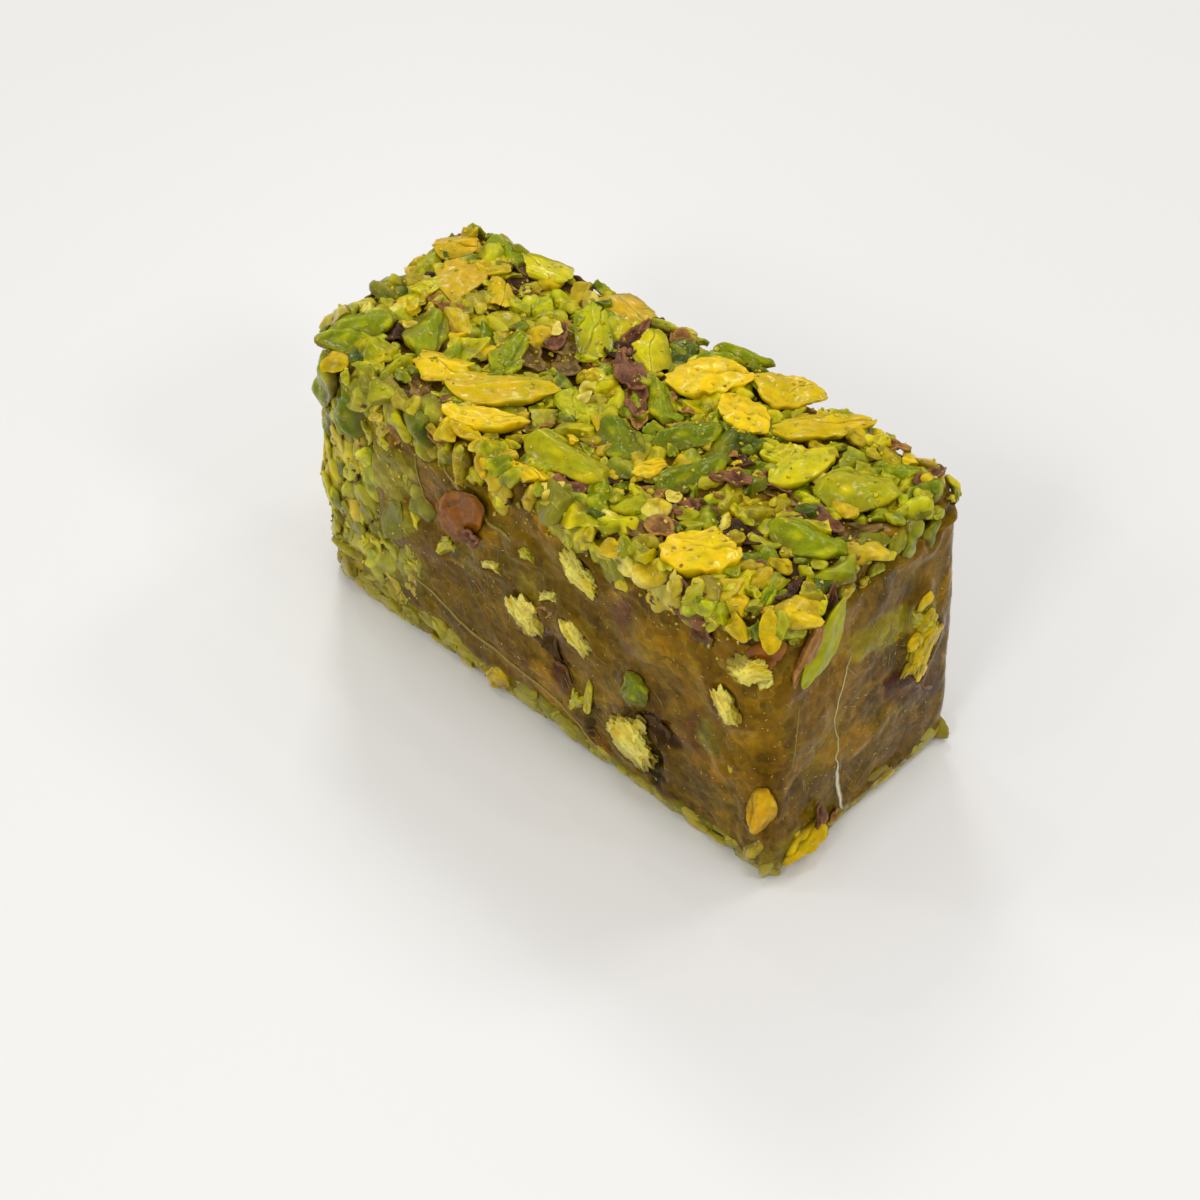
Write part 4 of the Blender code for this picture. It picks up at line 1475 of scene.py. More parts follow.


# ---------------------------------------------------------------- smaller pieces, laid one by one


# model, face, u, v, length, width, height, turn, tint, how far it stands proud of the face
NUTS = (
    ("half_0", TOP, -37.6, 1.8, 5.4, 3.8, 1.8, 70, LIME, 1.6),
    ("half_0", TOP, -37.8, -1.6, 5.4, 3.4, 1.8, 10, LIME, 1.3),
    ("whole", TOP, -41.4, 4.6, 9.6, 3.2, 2.4, 108, LIME, 1.6),
    ("whole", TOP, -34.2, -11.8, 8, 5.8, 3.2, 10, LIME, 2.3),
    ("whole", TOP, -29.2, -12.4, 7.2, 4, 3, 100, LIME, 1.6),
    ("whole", TOP, -38.6, -12.6, 8.6, 6.4, 3.4, 60, FRESH, 2),
    ("whole", NEAR, -38.6, 37.6, 10.4, 6.8, 3.6, 75, FRESH, 1.9),
    ("whole", NEAR, -33.2, 36.4, 10.4, 5.8, 3.4, 108, GREEN, 1.8),
    ("whole", NEAR, -38.6, 31, 7.4, 4.8, 2.6, 85, FRESH, 0.8),
    ("whole", TOP, -24.8, -0.2, 7.6, 5, 2.4, -40, GREEN, 1.4),
    ("half_0", TOP, -26.6, -3.4, 7.6, 2.4, 1.6, -62, LIME, 1.2),
    ("whole", TOP, 8.2, -13.2, 6.8, 4, 2.4, -52, FRESH, 1.8),
    ("broken_0", TOP, 9.2, -5.2, 5.6, 3.8, 2.2, 80, BRIGHT, 2),
    ("half_0", TOP, 19.2, 7.8, 5.4, 3.2, 1.8, 80, LIME, 1.8),
    ("broken_1", TOP, -6.2, -2.8, 6.4, 5, 2.4, -20, FRESH, 1.8),
    ("lump_0", TOP, -6.4, 3, 4.6, 3.8, 2.4, 10, LIME, 1.9),
    ("lump_1", TOP, -3.2, 2, 4.8, 3.6, 2.4, -30, FRESH, 1.9),
    ("lump_2", TOP, -3, -1, 4.6, 3.8, 2.6, 60, LIME, 2),
    ("lump_3", TOP, -8.7, 2.4, 2.8, 2.4, 1.8, 60, YELLOW, 1.7),
    ("lump_0", TOP, -24.2, 9.4, 5, 4.6, 2.8, 40, FRESH, 2),
    ("lump_1", TOP, -23.2, 12.8, 4.4, 3.8, 2.6, 0, FRESH, 2),
    ("lump_2", TOP, -20.4, 8.6, 4.4, 4, 2.6, 100, LIME, 1.8),
    ("lump_3", TOP, -20.6, 12, 4.2, 3.6, 2.6, 30, LIME, 1.8),
    ("lump_0", TOP, -26.8, 14.4, 4.6, 3.4, 2.4, 10, YELLOW, 1.8),
    ("half_0", TOP, -33.6, 10.6, 5.4, 3.2, 1.8, 20, YELLOW, 1.6),
    ("whole", TOP, -7.6, 18.2, 5, 3.8, 2.4, 0, FRESH, 1.6),
    ("lump_1", TOP, -3, 19.2, 3.6, 2.6, 2.2, 0, GREEN, 1.6),
    ("whole", TOP, 1.4, 17, 6, 4.4, 2.2, 60, FRESH, 1.6),
    ("whole", TOP, 15, 7.4, 4.6, 4, 2.4, 30, DARK_GREEN, 1.7),
    ("whole", TOP, 17, 10.2, 4.6, 3, 2.2, 80, DARK_GREEN, 1.6),
    ("whole", TOP, 18.6, 4.4, 3.8, 2.2, 1.8, 10, GREEN, 1.4),
    ("whole", TOP, 23.6, -1.8, 5.4, 4.4, 2.2, 70, OLIVE, 1.3),
    ("lump_2", TOP, 14.2, -10, 4, 3.2, 2, 80, PALE, 1.4),
    ("lump_3", TOP, 31.6, -7.4, 3.4, 2.6, 2, 10, YELLOW, 1.6),
    ("whole", TOP, 28.4, -8.8, 6.4, 3.6, 2.6, 70, GREEN, 1.4),
    ("broken_1", TOP, 30.2, -13, 6.6, 3.4, 2.8, 100, LIME, 1.6),
    ("whole", TOP, 33.4, -12.6, 6.6, 2.6, 2.6, -70, FRESH, 1.4),
    ("lump_0", TOP, 31.6, -15.6, 4.2, 3.2, 2.4, 0, YELLOW, 1.4),
    ("lump_1", TOP, 26.6, 3.6, 4.2, 2.6, 2, 10, FRESH, 1.5),
    ("lump_2", TOP, 30.2, 3.4, 3.6, 2.6, 2, 30, LIME, 1.4),
    ("whole", TOP, 31.6, 15.8, 6.4, 3.8, 2.2, 30, FRESH, 1.6),
    ("lump_3", TOP, 25.6, 19, 4.6, 3, 2.4, 10, LIME, 1.6),
    ("lump_0", TOP, 27, 17.2, 3.6, 2.8, 2.4, 60, LIME, 1.8),
    ("whole", TOP, 36.4, 14.8, 5.6, 3.6, 2.6, 60, GREEN, 1.4),
    ("lump_1", TOP, 37.4, 11.6, 5, 3.8, 2.8, 100, FRESH, 1.4),
    ("whole", TOP, 34.6, 11, 6, 3, 2.2, -60, OLIVE, 1.2),
    ("lump_2", END, 9, 39.6, 5.4, 4.2, 2.6, 80, FRESH, 0.9),
    ("lump_3", END, 12.6, 38, 4.4, 3.6, 2.4, 80, GREEN, 0.7),
    ("whole", TOP, -8.2, -15.4, 5, 4.4, 2.8, 80, LIME, 1.6),
    ("half_0", TOP, -12.8, -15.6, 6.6, 3, 2, -10, YELLOW, 1.3),
    ("broken_2", TOP, -1.8, -15.8, 6.6, 3.8, 2.6, -12, BRIGHT, 1.6),
    ("lump_0", TOP, 2.6, -16.4, 3.8, 2.6, 2.2, 40, PALE, 1.4),
    ("lump_1", TOP, 13, -15.4, 5.4, 3.8, 2.6, 60, LIME, 1.4),
    ("lump_2", TOP, 17.2, -15.8, 4.4, 3.2, 2.4, 80, OLIVE, 1.2),
    ("lump_3", NEAR, -22.8, 39.6, 5, 4.6, 2.8, 0, LIME, 1.4),
    ("whole", NEAR, -18, 38, 5.4, 4.4, 2.8, 20, OLIVE, 1.2),
    ("whole", NEAR, -14.8, 38.8, 6.6, 3, 2.8, 80, LIME, 1.4),
    ("whole", NEAR, -11.8, 39, 6.4, 3.2, 2.8, 95, YELLOW, 1.4),
    ("lump_0", NEAR, -9, 38.2, 4, 2.8, 2.4, 80, LIME, 1),
    ("lump_1", NEAR, -5.6, 40, 4.6, 4, 2.6, 30, YELLOW, 1.5),
    ("lump_2", NEAR, 0.6, 40.8, 3.8, 2.6, 2.2, 100, YELLOW, 1.2),
    ("lump_3", NEAR, 12.2, 39.4, 5.4, 4, 2.6, 60, LIME, 1.3),
    ("lump_0", NEAR, 16.2, 40, 4.8, 3.8, 2.6, 20, PALE, 1.3),
    ("lump_1", NEAR, 16.4, 36.6, 3.2, 2.6, 1.8, 60, LIME, 0.9),
    ("lump_2", NEAR, -27.2, 38, 3, 1.8, 1.6, 40, PALE, 1.1),
    ("lump_3", NEAR, -26.4, 34.2, 3.8, 2.8, 1.6, 20, LIME, 0.9),
    ("crumbly_0", NEAR, -15.4, 22.2, 5.6, 3.2, 1.6, 50, LIME, 0.7),
    ("crumbly_1", NEAR, -6.4, 24.6, 4.6, 2.8, 1.6, 25, PALE, 0.9),
    ("crumbly_2", NEAR, -0.2, 31.2, 4.6, 3.6, 1.8, 20, LIME, 0.9),
    ("crumbly_1", NEAR, 4, 26.2, 4.2, 2.6, 1.6, 40, PALE, 1.1),
    ("crumbly_0", NEAR, 8.6, 9.6, 6, 3.4, 1.6, 70, LIME, 0.8),
    ("half_0", NEAR, 10.8, 12.4, 7.6, 1.4, 1.2, 85, LIME, 0.6),
    ("whole", NEAR, -6.4, 3.2, 5.6, 4.2, 2.2, 70, BRIGHT, 1.2),
    ("whole", NEAR, -36.6, 7.6, 8, 4.8, 2.2, 10, LIME, 0.7),
    ("crumbly_2", NEAR, 34.6, 17.4, 2.6, 2, 1.2, 80, YELLOW, 0.6),
    ("whole", END, -13.2, 3.8, 6.2, 3.6, 2.6, 115, BRIGHT, 1.4),
    ("whole", END, -9.6, 1.6, 7, 3, 2.2, -14, YELLOW, 1.1),
    ("whole", NEAR, 39, 4.6, 7.4, 3, 2.4, 75, YELLOW, 1.1),
    ("lump_0", END, 4, 2, 5.6, 1.6, 1.2, 0, YELLOW, 0.7),
    ("crumbly_0", END, 10, 26.6, 5.4, 3.6, 1.6, -60, LIME, 0.8),
    ("lump_1", END, -16, 33, 3, 1.8, 1.4, 60, PALE, 0.8),
    ("half_0", END, -11.7, 36.7, 9.6, 1.7, 2.2, 66, PINK, 2.2),
    ("lump_2", END, 11.6, 25, 3.8, 2.8, 1.6, 70, YELLOW, 1.2),
    ("lump_3", END, 8.8, 21.6, 3, 2.2, 1.4, 20, LIME, 1),
    ("lump_0", END, 10.4, 17.4, 2.6, 2.4, 1.4, 70, BRIGHT, 1.2),
    ("lump_2", NEAR, 36.4, 37.4, 6, 4.6, 2.4, 80, AMBER, 1),
    ("lump_1", END, 11.2, 28.4, 3.4, 2.4, 1.6, 60, YELLOW, 1.2),
    ("lump_2", END, 9.3, 23.2, 3.2, 2.6, 1.6, 10, BRIGHT, 1.3),
    ("lump_3", END, 12.2, 24.4, 2.8, 2.2, 1.6, 80, LIME, 1.3),
    ("lump_0", END, 10.9, 19.4, 3.4, 2.2, 1.6, 80, YELLOW, 1.3),
    ("lump_1", TOP, 9.4, 18.8, 4.8, 3, 2.4, 10, FRESH, 1),
    ("whole", TOP, 17.4, 19.2, 5.4, 3, 2.6, -10, GREEN, 0.7),
    ("lump_2", TOP, 20.4, 18.2, 4.6, 3, 2.4, 20, LIME, 1.8),
    ("lump_3", TOP, 24.4, 16.4, 4.4, 3, 2.4, 0, YELLOW, 1.8),
    ("lump_0", TOP, 18, 13.4, 3.6, 2.4, 2, 40, OLIVE, 1.6),
    ("lump_1", TOP, 8, 13.6, 3.6, 2.6, 2.2, 40, LIME, 1.9),
    ("lump_2", TOP, 5, 17.2, 3.8, 2.6, 2.2, 0, GREEN, 0.9),
    ("crumbly_0", FAR, -17, 27, 5.6, 3.6, 1.8, 40, PALE, 0.8),
    ("whole", FAR, -6, 16, 7, 4.2, 2.4, 70, FRESH, 0.6),
    ("crumbly_1", FAR, 5, 28, 5.4, 3.4, 1.8, 20, LIME, 0.8),
    ("broken_0", FAR, 17, 18, 6, 4.4, 2.2, 80, YELLOW, 0.8),
    ("crumbly_2", FAR, 27, 30, 4.8, 3.2, 1.8, 60, PALE, 0.8),
    ("whole", FAR, 33, 15, 6.4, 3.8, 2.2, 30, OLIVE, 0.5),
)
# the same, without the model
SKINS = (
    (TOP, -35.2, -7.4, 4.6, 3.8, 1.4, 0, DUSK, 1.2),
    (TOP, -9.8, 13.6, 5.2, 3, 2, 95, PURPLE, 1.9),
    (TOP, -9.2, 9.6, 4.4, 3.4, 1.8, 70, DUSK, 1.8),
    (TOP, -5.2, 6.6, 8, 3.8, 2, -38, PURPLE, 2),
    (TOP, -1, 3.6, 5.4, 2.8, 1.8, -48, PURPLE, 1.9),
    (TOP, 1.8, 0.8, 4.4, 2.4, 1.6, -42, PINK, 1.8),
    (TOP, -4.5, 17, 3.6, 2.8, 1.4, 30, PINK, 1.4),
    (TOP, -0.6, 19.4, 2.6, 1.8, 1.2, 0, PINK, 1.6),
    (TOP, 4, -13, 5.4, 4.6, 1.8, -70, PURPLE, 1.6),
    (TOP, 17.2, -12, 5.2, 3.2, 1.4, 0, PINK, 1.4),
    (TOP, 12, -8.4, 3.8, 2.4, 1.2, 20, PINK, 1),
    (TOP, 18.4, -0.8, 5.2, 2.4, 1.8, 20, PURPLE, 2),
    (TOP, 16.6, 3.4, 4.4, 2.6, 1.2, 60, DUSK, 1),
    (TOP, 22, 3, 5.2, 2.6, 1.2, 0, PURPLE, 1.1),
    (TOP, 24.4, -6.2, 6.6, 2.8, 1.4, 8, DUSK, 1),
    (TOP, 17, -7.4, 3.2, 2.6, 1.2, 50, PURPLE, 1.2),
    (TOP, 30.6, 2.2, 5.4, 2.4, 1.4, 8, PURPLE, 1.3),
    (TOP, 28.6, 17.8, 5, 2, 1.4, 20, PINK, 1.6),
    (TOP, 35.6, 17, 4.2, 2, 1.4, 70, PURPLE, 1.4),
    (TOP, 34.4, -8.4, 7, 3, 1.8, 110, DUSK, 1.2),
    (TOP, 19, 19, 3.2, 2, 1.2, 0, PINK, 1.4),
    (TOP, -29.2, 11, 5.2, 3.2, 1.6, -50, DUSK, 1.2),
    (TOP, -23.2, 16, 5, 3, 1.6, 20, DUSK, 1.2),
    (TOP, -17.6, 6.4, 5.4, 2.4, 1.2, -60, PURPLE, 1.1),
    (TOP, -31.4, 1, 4.6, 2, 1.2, 20, PINK, 1.1),
    (TOP, -6.8, -8.8, 4.6, 1.6, 1, 40, PINK, 1),
    (TOP, -17.4, 0.8, 6.4, 3.4, 1.2, -25, FILM, 0.9),
    (TOP, -13, 3, 6, 3.6, 1.2, -40, FILM, 0.9),
    (TOP, -16.4, 5.6, 4.6, 2.6, 1.2, 10, FILM, 0.8),
    (TOP, 18.2, 4.4, 4.2, 2.4, 1.2, 60, FILM, 0.8),
    (TOP, 24, 2.6, 5.4, 2.6, 1.2, 10, FILM, 0.8),
    (TOP, 29, -2.6, 4.4, 2.6, 1.2, 70, FILM, 0.8),
    (TOP, 16.2, -14, 5, 3.6, 1.2, 30, FILM, 0.8),
    (TOP, 15.4, -9.8, 3.8, 2.4, 1.2, 80, FILM, 0.8),
    (TOP, 18.6, -5.8, 4.4, 2.4, 1.2, 10, FILM, 0.8),
    (TOP, -27.6, -7.2, 6, 3, 1.2, -70, FILM, 0.8),
    (TOP, -23.4, -13.4, 5.4, 3, 1.2, -30, FILM, 0.8),
    (TOP, 34.6, 4, 5.4, 3, 1.2, 50, FILM, 0.8),
    (TOP, -30.6, 14.2, 4.6, 2.6, 1.2, 10, FILM, 0.8),
    (NEAR, -24.6, 36.4, 6.4, 2.6, 1.6, 50, PINK, 0.9),
    (NEAR, 26.6, 40.4, 8.4, 4.6, 1.8, 8, PURPLE, 0.9),
    (NEAR, 28.8, 37.2, 5, 3, 1.4, 80, PURPLE, 0.9),
    (NEAR, 16.4, 32.6, 5, 2.4, 1.2, 80, PURPLE, 0.6),
    (NEAR, -9.3, 28.8, 3.8, 2.6, 2, 30, PURPLE, 2.2),
    (NEAR, 3.6, 23.8, 4, 1.8, 1.2, 60, PINK, 0.8),
    (NEAR, 3.4, 17.6, 6.6, 4, 1.6, -40, DUSK, 0.5),
    (NEAR, 6, 12.6, 5.4, 3.4, 1.6, -70, PURPLE, 0.6),
    (NEAR, 22, 14.6, 6.4, 4.2, 2, 30, DUSK, 0.7),
    (NEAR, 12.4, 3.6, 5, 2.6, 1.4, -50, PURPLE, 0.5),
    (END, -7, 40.6, 5, 2, 1.4, 70, PURPLE, 0.9),
    (END, 10, 14.4, 7, 2.4, 1.2, -40, PURPLE, 0.4),
    (END, -6.2, 2.2, 3.6, 1.8, 1.2, 60, PINK, 0.8),
    (END, -9.6, 4.6, 6, 1.8, 1.6, 76, PURPLE, 1.7),
    (FAR, 12, 23, 6, 3.2, 1.6, -50, PURPLE, 0.5),
    (FAR, -8, 31, 5, 2.6, 1.4, 60, DUSK, 0.5),
    (FAR, 24, 13, 4.4, 2.6, 1.4, 20, PURPLE, 0.5),
)


@dataclass
class SmallPieces:
    """Smaller kernels, knobbly bits and skins that are laid one by one."""

    NUT_RISE, SKIN_RISE = 0.35, 0.5  # mm, how much further those on top stand proud, clear of the chips

    jelly: Jelly
    forms: dict[str, Form]
    laid: Footprints

    def build(self, nut: Material, skin: Material) -> None:
        """Lays the pieces, one heap for each kind.

        Args:
            nut: The nuts' material.
            skin: The skins' material.
        """
        heaps: dict[str, Heap] = {}
        for index, (model, face, u, v, long, wide, high, turn, tint, proud) in enumerate(NUTS):
            proud += self.NUT_RISE if face is TOP else 0.0
            seat = self.jelly.seat(face, u, v, (long, wide, high), turn, proud - high)
            form = self.forms.get(f"small_{model}", self.forms[model]).varied(index + 50.0, 0.2)
            heaps.setdefault(model.split("_")[0], Heap()).add(form, seat, tint)
            self.laid.seats.append(seat)
        for kind, heap in heaps.items():
            heap.build(f"small_{kind}_pieces", nut, "nut_coat")
        skins = Heap()
        for index, (face, u, v, long, wide, high, turn, tint, proud) in enumerate(SKINS):
            proud += self.SKIN_RISE if face is TOP else 0.0
            seat = self.jelly.seat(face, u, v, (long * 1.1, wide * 1.2, high), turn, proud - high)
            skins.add(self.forms[f"flake_{index % 4}"].varied(index + 70.0, 0.16), seat, tint)
            if face is TOP:
                self.laid.seats.append(seat.resized((1.5, 1.6, 1.0)) if tint is FILM else seat)
        skins.build("large_skins", skin, "nut_coat")


# ---------------------------------------------------------------- the chopped nuts


@dataclass
class Chopped:
    """The chopped nuts of the coat, with the crumbs and the torn skins."""

    jelly: Jelly
    forms: dict[str, Form]
    laid: Footprints
    film_reach: float = -22.0  # how far along the near side the nuts show under the film
    draw: np.random.Generator = field(default_factory=lambda: np.random.default_rng(SEED))
    waiting: list[tuple[Seat, float]] = field(default_factory=list)
    coated: np.ndarray | None = None  # the skin's points under the coat
    loose: np.ndarray | None = None  # those of them where it is loose

    # how far they keep apart, in millimetres, with the shortest and the longest
    LARGE_CHIPS, SMALL_CHIPS = (3.4, 4.5, 6.8), (1.8, 2.2, 4.4)
    FILMED_NUTS = ((4.2, 6.0, 9.5), (2.6, 3.2, 5.2))
    SKINS, CRUMBS = (5.0, 2.2, 5.4), (2.4, 0.3, 1.0)
    SPECK_GAP = 1.1
    FOOT = 7.0  # the height of the nuts at the foot
    CAST = 5.0  # how high above the skin a crumb is dropped from

    TINTS = (FRESH, GREEN, LIME, YELLOW, DARK_GREEN, OLIVE, PALE, BRIGHT)
    ODDS = (0.22, 0.20, 0.20, 0.07, 0.12, 0.10, 0.06, 0.03)
    # face, range of u, range of v, how many fine crumbs fall there
    DUSTED = (
        (TOP, (-44.0, 39.0), (-18.0, 20.0), 1300),
        (NEAR, (-42.0, -20.0), (1.0, 40.0), 220),
        (NEAR, (-20.0, 38.0), (34.0, 42.0), 120),
        (LEFT, (-16.0, 15.0), (1.0, 40.0), 160),
    )

    def sites(self, where: np.ndarray, gap: float) -> list[int]:
        """Picks points of the skin that keep their distance from one another.

        Args:
            where: The points that may be picked.
            gap: The distance they keep, in millimetres.

        Returns:
            The picked points' numbers.
        """
        points = self.jelly.points
        taken: dict[tuple[int, int, int], list[int]] = {}
        chosen = []
        for index in self.draw.permutation(np.flatnonzero(where)).tolist():
            point = points[index]
            cell = tuple((point // gap).astype(int).tolist())
            near = [
                other
                for x in (-1, 0, 1) for y in (-1, 0, 1) for z in (-1, 0, 1)
                for other in taken.get((cell[0] + x, cell[1] + y, cell[2] + z), ())
            ]
            if near and np.min(np.sum((points[near] - point) ** 2, axis=1)) < gap * gap:
                continue
            taken.setdefault(cell, []).append(index)
            chosen.append(index)
        return chosen

    def _seat(self, index: int, size: np.ndarray, turn: float, lift: float, tilt: float = 0.0) -> Seat:
        """A seat at one of the skin's points, as Jelly.stand gives it."""
        return self.jelly.stand(self.jelly.points[index], self.jelly.normals[index], size, turn, lift, tilt)

    def _pick(self, name: str) -> Form:
        """One of the forms whose name begins so, by chance."""
        found = [form for key, form in self.forms.items() if key.startswith(name)]
        return found[self.draw.integers(len(found))]

    def _tint(self) -> Tint:
        """A nut's tint, by chance."""
        return self.TINTS[self.draw.choice(len(self.TINTS), p=self.ODDS)]

    def build(self, chip: Material, pressed: Material, skin: Material) -> None:
        """Lays the chips, the nuts under the film, the skins and the crumbs.

        Args:
            chip: The chips' material.
            pressed: The material of the nuts under the film.
            skin: The torn skins' material.
        """
        jelly = self.jelly
        self.coated = (jelly.coated > 0.2) & (jelly.points[:, 2] > 0.5) & (jelly.normals[:, 2] > -0.5)
        self.loose = self.coated & ((jelly.normals[:, 2] > 0.45) | (jelly.points[:, 2] > 41.2))
        self.loose &= jelly.points[:, 0] < 37.5
        self._chips(chip)
        self._pressed(pressed)
        self._skins(skin)
        self._crumbs(chip)

    def _chips(self, finish: Material) -> None:
        """Lays the chips on top, large ones first.

        Args:
            finish: Their material.
        """
        jelly, draw = self.jelly, self.draw
        away = self.laid.clear(jelly.points)
        gap, shortest, longest = self.LARGE_CHIPS
        large = self.sites(self.loose & (away > 0.7), gap)
        room = np.full(len(jelly.points), AWAY)
        for middle in jelly.points[large]:
            room = np.minimum(room, np.linalg.norm(jelly.points - middle, axis=1))
        small = self.sites(self.loose & (away > -0.5) & (room > 1.7), self.SMALL_CHIPS[0])
        chips = [(index, draw.uniform(shortest, longest)) for index in large]
        chips += [(index, draw.uniform(*self.SMALL_CHIPS[1:])) for index in small]
        greens, yellows = Heap(), Heap()
        for index, long in chips:
            size = long * np.array([1.0, draw.uniform(0.55, 0.85), draw.uniform(0.36, 0.5)])
            proud = draw.uniform(1.2, 2.2) if long > shortest else draw.uniform(0.7, 1.7)
            proud += 0.35 * float(away[index] < 1.4 and long < shortest)
            seat = self._seat(index, size, draw.uniform(0.0, 360.0), proud - size[2], draw.uniform(-16.0, 16.0))
            tint = self._tint()
            heap = yellows if tint in (LIME, YELLOW, PALE, BRIGHT) else greens
            veil = draw.uniform(0.1, 0.4) if draw.random() < 0.3 else 0.0
            heap.add(self._pick("bit_"), seat, tint, draw.uniform(0.82, 1.08), veil)
        greens.build("green_chips", finish, "nut_coat", ["nut_coat"], crisp=True)
        yellows.build("yellow_chips", finish, "nut_coat", crisp=True)

    def _pressed(self, finish: Material) -> None:
        """Lays the nuts that the film holds flat against the sides.

        Args:
            finish: Their material.
        """
        jelly, draw = self.jelly, self.draw
        reach = self.film_reach + 3.0 * cloud(jelly.points * (0.0, 0.0, 1.0), 9.0, 31.0)
        filmed = (jelly.normals[:, 1] < -0.6) & (jelly.points[:, 0] < reach) & (jelly.points[:, 2] > 0.5)
        where = (self.coated | filmed) & ~self.loose
        away = self.laid.clear(jelly.points)
        heap = Heap()
        for gap, low, high in self.FILMED_NUTS:
            for index in self.sites(where & (away > 0.3), gap):
                point, normal = jelly.points[index], jelly.normals[index]
                foot = point[2] < self.FOOT
                edge = normal[0] > 0.2 or point[0] > 36.0  # at the cut end, or under the top's border
                edge = edge or (point[2] > 36.0 and (normal[0] < -0.4 or normal[1] > 0.3))
                size = draw.uniform(low, high) * np.array([1.0, draw.uniform(0.55, 0.8), 0.3])
                size *= 0.45 if edge and not foot else 1.0
                size[2] = max(1.3, size[2])
                turn = draw.uniform(-25.0, 25.0) if foot or edge else draw.uniform(60.0, 120.0)
                proud = draw.uniform(0.4, 0.95) if jelly.coated[index] > 0.0 and not foot else draw.uniform(0.15, 0.5)
                veil = draw.uniform(0.35, 0.7) if foot else draw.uniform(0.1, 0.5)
                seat = self._seat(index, size, turn, proud - size[2])
                name = ("flat_whole", "lump_", "flat_half", "lump_")[draw.integers(4)] if gap > 3.0 else "bit_1"
                form, tint = self._pick(name), self._tint()
                light = draw.uniform(1.15, 1.4) + 0.15 * (not foot)
                heap.add(form, seat, tint, light * (0.8 if tint in (PALE, BRIGHT) else 1.0), veil)
        heap.build("pressed_nuts", finish, "nut_coat")

    def _skins(self, finish: Material) -> None:
        """Scatters small torn skins, clear of the foot.

        Args:
            finish: The skins' material.
        """
        jelly, draw = self.jelly, self.draw
        away = self.laid.clear(jelly.points)
        skins = Heap()
        gap, shortest, longest = self.SKINS
        for index in self.sites(self.coated & (away > 0.3) & (jelly.points[:, 2] > self.FOOT + 1.0), gap):
            size = np.array([draw.uniform(shortest, longest), draw.uniform(1.4, 3.0), draw.uniform(0.9, 1.5)])
            proud = draw.uniform(0.9, 1.7) if self.loose[index] else 0.5
            seat = self._seat(index, size, draw.uniform(0.0, 360.0), proud - size[2], draw.uniform(-15.0, 15.0))
            tint = (PURPLE, DUSK, PINK)[draw.choice(3, p=(0.4, 0.25, 0.35))]
            skins.add(self._pick("flake_"), seat, tint, draw.uniform(0.8, 1.15))
        skins.build("torn_skins", finish, "nut_coat")

    def _top(self, trees: list[BVHTree], index: int) -> float:
        """How high the pieces reach over a point of the skin, in millimetres.

        Args:
            trees: The pieces' surfaces.
            index: The point's number.

        Returns:
            The height, 0 where nothing lies.
        """
        point, normal = self.jelly.points[index], self.jelly.normals[index]
        begin, way = Vector((point + self.CAST * normal) * MM), Vector(-normal)
        gaps = [tree.ray_cast(begin, way, self.CAST * MM)[3] for tree in trees]
        return self.CAST - min((gap / MM for gap in gaps if gap is not None), default=self.CAST)

    def _crumbs(self, finish: Material) -> None:
        """Scatters crumbs on the coat, and finds places for the gold specks, partly painted glints, on the jelly.

        Args:
            finish: The crumbs' material.
        """
        jelly, draw = self.jelly, self.draw
        crumbs = Heap()
        trees = laid_trees()
        gap, shortest, longest = self.CRUMBS
        for index in self.sites(self.coated & (jelly.points[:, 2] > 3.0), gap):
            if not self.loose[index] and draw.random() < 0.7:
                continue
            side = draw.uniform(shortest, longest)
            size = side * np.array([1.0, draw.uniform(0.6, 1.0), draw.uniform(0.5, 0.9)])
            lift = draw.uniform(0.0, 1.6) if self.loose[index] else draw.uniform(-0.1, 0.35)
            lift = min(lift, self._top(trees, index) - 0.3)
            seat = self._seat(index, size, draw.uniform(0.0, 360.0), lift)
            tint = (YELLOW, PALE, LIME, GREEN, PINK)[draw.integers(5)]
            crumbs.add(self._pick("crumb_"), seat, tint, draw.uniform(0.9, 1.15))
        thick = cloud(jelly.points, 6.0, 40.0)
        bare = ~self.coated & (jelly.points[:, 2] > 0.6) & (jelly.normals[:, 2] > -0.5)
        for index in self.sites(bare, self.SPECK_GAP):
            if thick[index] < draw.normal() * 0.5 + 0.2:
                continue
            long = 0.12 + 0.6 * draw.random() ** 3
            size = np.array([long, draw.uniform(0.07, 0.13), draw.uniform(0.07, 0.11)])
            place = jelly.points[index] + drift(jelly.points[index][None], 1.0)[0]
            seat = jelly.stand(place, jelly.normals[index], size, draw.normal() * 60.0 - 60.0)
            self.waiting.append((seat, draw.uniform(0.9, 1.35)))
        crumbs.build("crumbs", finish, "nut_coat", crisp=True)

    def dust_and_glints(self, finish: Material) -> None:
        """Drops the finest crumbs on the nuts that lie there already; the pale and gold ones are also painted glints.

        Args:
            finish: The crumbs' material.
        """
        draw, heap = self.draw, Heap()
        trees = laid_trees()
        # the pale and gold crumbs also stand in as painted glints
        tints = (PALE, GOLD, LIME, YELLOW, PINK)
        for face, across, tall, count in self.DUSTED:
            for _ in range(count):
                begin, way = face.ray(draw.uniform(*across), draw.uniform(*tall))
                hits = [tree.ray_cast(begin, way) for tree in trees]
                hits = [hit for hit in hits if hit[0] is not None and hit[1].dot(way) < -0.4]
                if not hits:
                    continue
                place, normal, _, _ = min(hits, key=lambda hit: hit[3])
                size = 0.14 + 0.5 * draw.random() ** 3
                size = size * np.array([1.0, draw.uniform(0.6, 1.0), draw.uniform(0.4, 0.8)])
                turn = draw.uniform(0.0, 360.0)
                seat = self.jelly.stand(np.array(place) / MM, np.array(normal), size, turn, -0.25 * size[2])
                heap.add(self._pick("crumb_"), seat, tints[draw.choice(5, p=(0.35, 0.32, 0.15, 0.15, 0.03))], 1.1)
        heap.build("fine_crumbs_and_glints", finish, "nut_coat", crisp=True)

